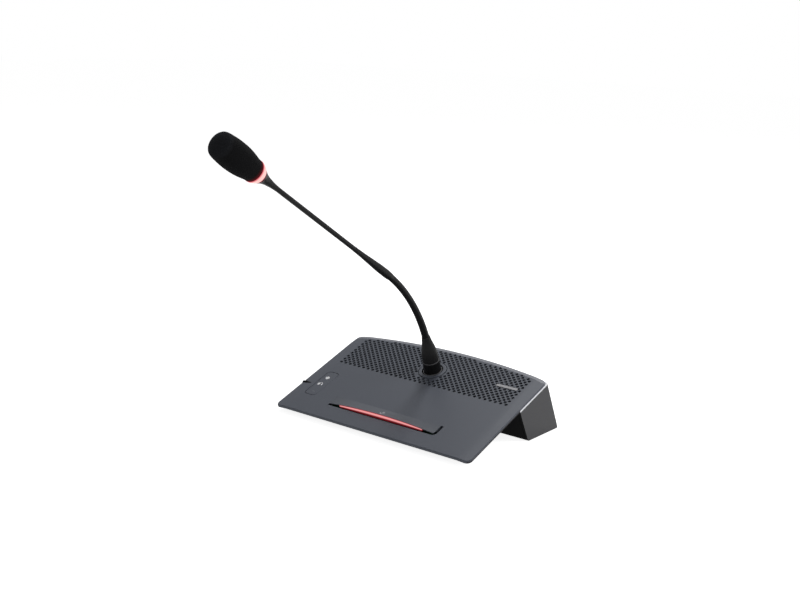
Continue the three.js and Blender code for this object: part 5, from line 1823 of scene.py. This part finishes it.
# Right, up and back directions of the camera, solved from the deck's outline in the photograph

CAMERA_AXES = ((0.78995, 0.61191, 0.03959), (-0.17021, 0.15680, 0.97288),
               (0.58909, -0.77525, 0.22801))


class BuildStage(bpy.types.Operator):
    """Sets up the floor, the lamps, the surroundings and the camera"""

    bl_idname = "delegate.stage"
    bl_label = "Stage"

    def execute(self, context):
        stage = context.scene.unit_stage
        self.floor(stage)
        self.surroundings(stage)
        for name, (place, target, size, power) in LAMPS.items():
            self.lamp(name, place, target, size, getattr(stage, power))
        self.camera(stage)
        context.scene.view_settings.view_transform = "Standard"
        return {"FINISHED"}

    def floor(self, stage):
        """A pale floor that the camera sees as white, with the object's shadow."""
        size = stage.floor_size
        floor = new_piece("floor", [(-size, -size, 0), (size, -size, 0), (size, size, 0),
                                    (-size, size, 0)], [(0, 1, 2, 3)])
        material = bpy.data.materials.new("Pale floor")
        material.use_nodes = True
        tree = material.node_tree
        tree.nodes.clear()
        grey = (*(stage.floor_level,) * 3, 1)
        matt = added(tree, "ShaderNodeBsdfDiffuse", {"Color": grey}).outputs["BSDF"]
        glow = added(tree, "ShaderNodeEmission", {"Strength": stage.floor_glow})
        both = added(tree, "ShaderNodeAddShader", {0: matt, 1: glow.outputs["Emission"]})
        self.end_in(tree, "ShaderNodeOutputMaterial", both.outputs["Shader"], matt)
        painted(floor, material)

    def end_in(self, tree, output, seen, other):
        """Ends a tree in one shader for rays that reach the camera, and in another for the rest."""
        rays = added(tree, "ShaderNodeLightPath").outputs
        direct = calculated(tree, "MAXIMUM", rays["Is Camera Ray"], rays["Is Glossy Ray"])
        share = calculated(tree, "MAXIMUM", direct, rays["Is Transmission Ray"])
        mix = added(tree, "ShaderNodeMixShader", {"Fac": share, 1: other, 2: seen})
        added(tree, output, {"Surface": mix.outputs["Shader"]})

    def surroundings(self, stage):
        """A white background for the camera and an even glow for the rest."""
        world = bpy.data.worlds.new("Studio")
        bpy.context.scene.world = world
        world.use_nodes = True
        tree = world.node_tree
        tree.nodes.clear()
        white = (1, 1, 1, 1)
        bright, soft = [
            added(tree, "ShaderNodeBackground", {"Color": white, "Strength": strength}).outputs[0]
            for strength in (1, stage.world_level)]
        self.end_in(tree, "ShaderNodeOutputWorld", bright, soft)

    def lamp(self, name, place, target, size, power):
        """A large soft lamp that points at the object."""
        light = bpy.data.lights.new(name, "AREA")
        light.shape = "SQUARE"
        light.size = size
        light.energy = power
        obj = bpy.data.objects.new(name, light)
        bpy.context.scene.collection.objects.link(obj)
        direction = Vector(target) - Vector(place)
        obj.location = place
        obj.rotation_euler = direction.to_track_quat("-Z", "Y").to_euler()

    def camera(self, stage):
        """The camera at the photograph's viewing angle."""
        data = bpy.data.cameras.new("Camera")
        data.lens = stage.lens
        data.sensor_width = 36
        data.sensor_fit = "HORIZONTAL"
        camera = bpy.data.objects.new("Camera", data)
        bpy.context.scene.collection.objects.link(camera)
        turn = Matrix(CAMERA_AXES).transposed().to_4x4()
        camera.matrix_world = Matrix.Translation(stage.camera) @ turn
        bpy.context.scene.camera = camera


BUILD_ORDER = [
    PaintSolids, BuildDeckPlate, BuildDustScreen, BuildRearHousing, BuildTalkButton,
    BuildVolumeRocker, BuildMarks, BuildSocketAndBadge, BuildMount, BuildGooseneck, BuildHead,
    BuildStage,
]


class DelegateUnitPanel(bpy.types.Panel):
    """Lists the steps that build the unit"""

    bl_idname = "VIEW3D_PT_delegate_unit"
    bl_label = "Delegate Unit"
    bl_space_type = "VIEW_3D"
    bl_region_type = "UI"
    bl_category = "Delegate Unit"

    def draw(self, context):
        for operator in BUILD_ORDER:
            self.layout.operator(operator.bl_idname)


def register():
    """Registers the settings, operators and panel."""
    for name, group in SETTINGS.items():
        bpy.utils.register_class(group)
        setattr(bpy.types.Scene, name, bpy.props.PointerProperty(type=group))
    for operator in BUILD_ORDER:
        bpy.utils.register_class(operator)
    bpy.utils.register_class(DelegateUnitPanel)


def unregister():
    """Removes what register added."""
    bpy.utils.unregister_class(DelegateUnitPanel)
    for operator in reversed(BUILD_ORDER):
        bpy.utils.unregister_class(operator)
    for name, group in SETTINGS.items():
        delattr(bpy.types.Scene, name)
        bpy.utils.unregister_class(group)


def main():
    """Builds the unit."""
    register()
    bpy.ops.delegate.paint_solids()
    bpy.ops.delegate.deck_plate()
    bpy.ops.delegate.dust_screen()
    bpy.ops.delegate.rear_housing()
    bpy.ops.delegate.talk_button()
    bpy.ops.delegate.volume_rocker()
    bpy.ops.delegate.marks()
    bpy.ops.delegate.socket_badge()
    bpy.ops.delegate.mount()
    bpy.ops.delegate.gooseneck()
    bpy.ops.delegate.head()
    bpy.ops.delegate.stage()


if __name__ == "__main__":
    main()
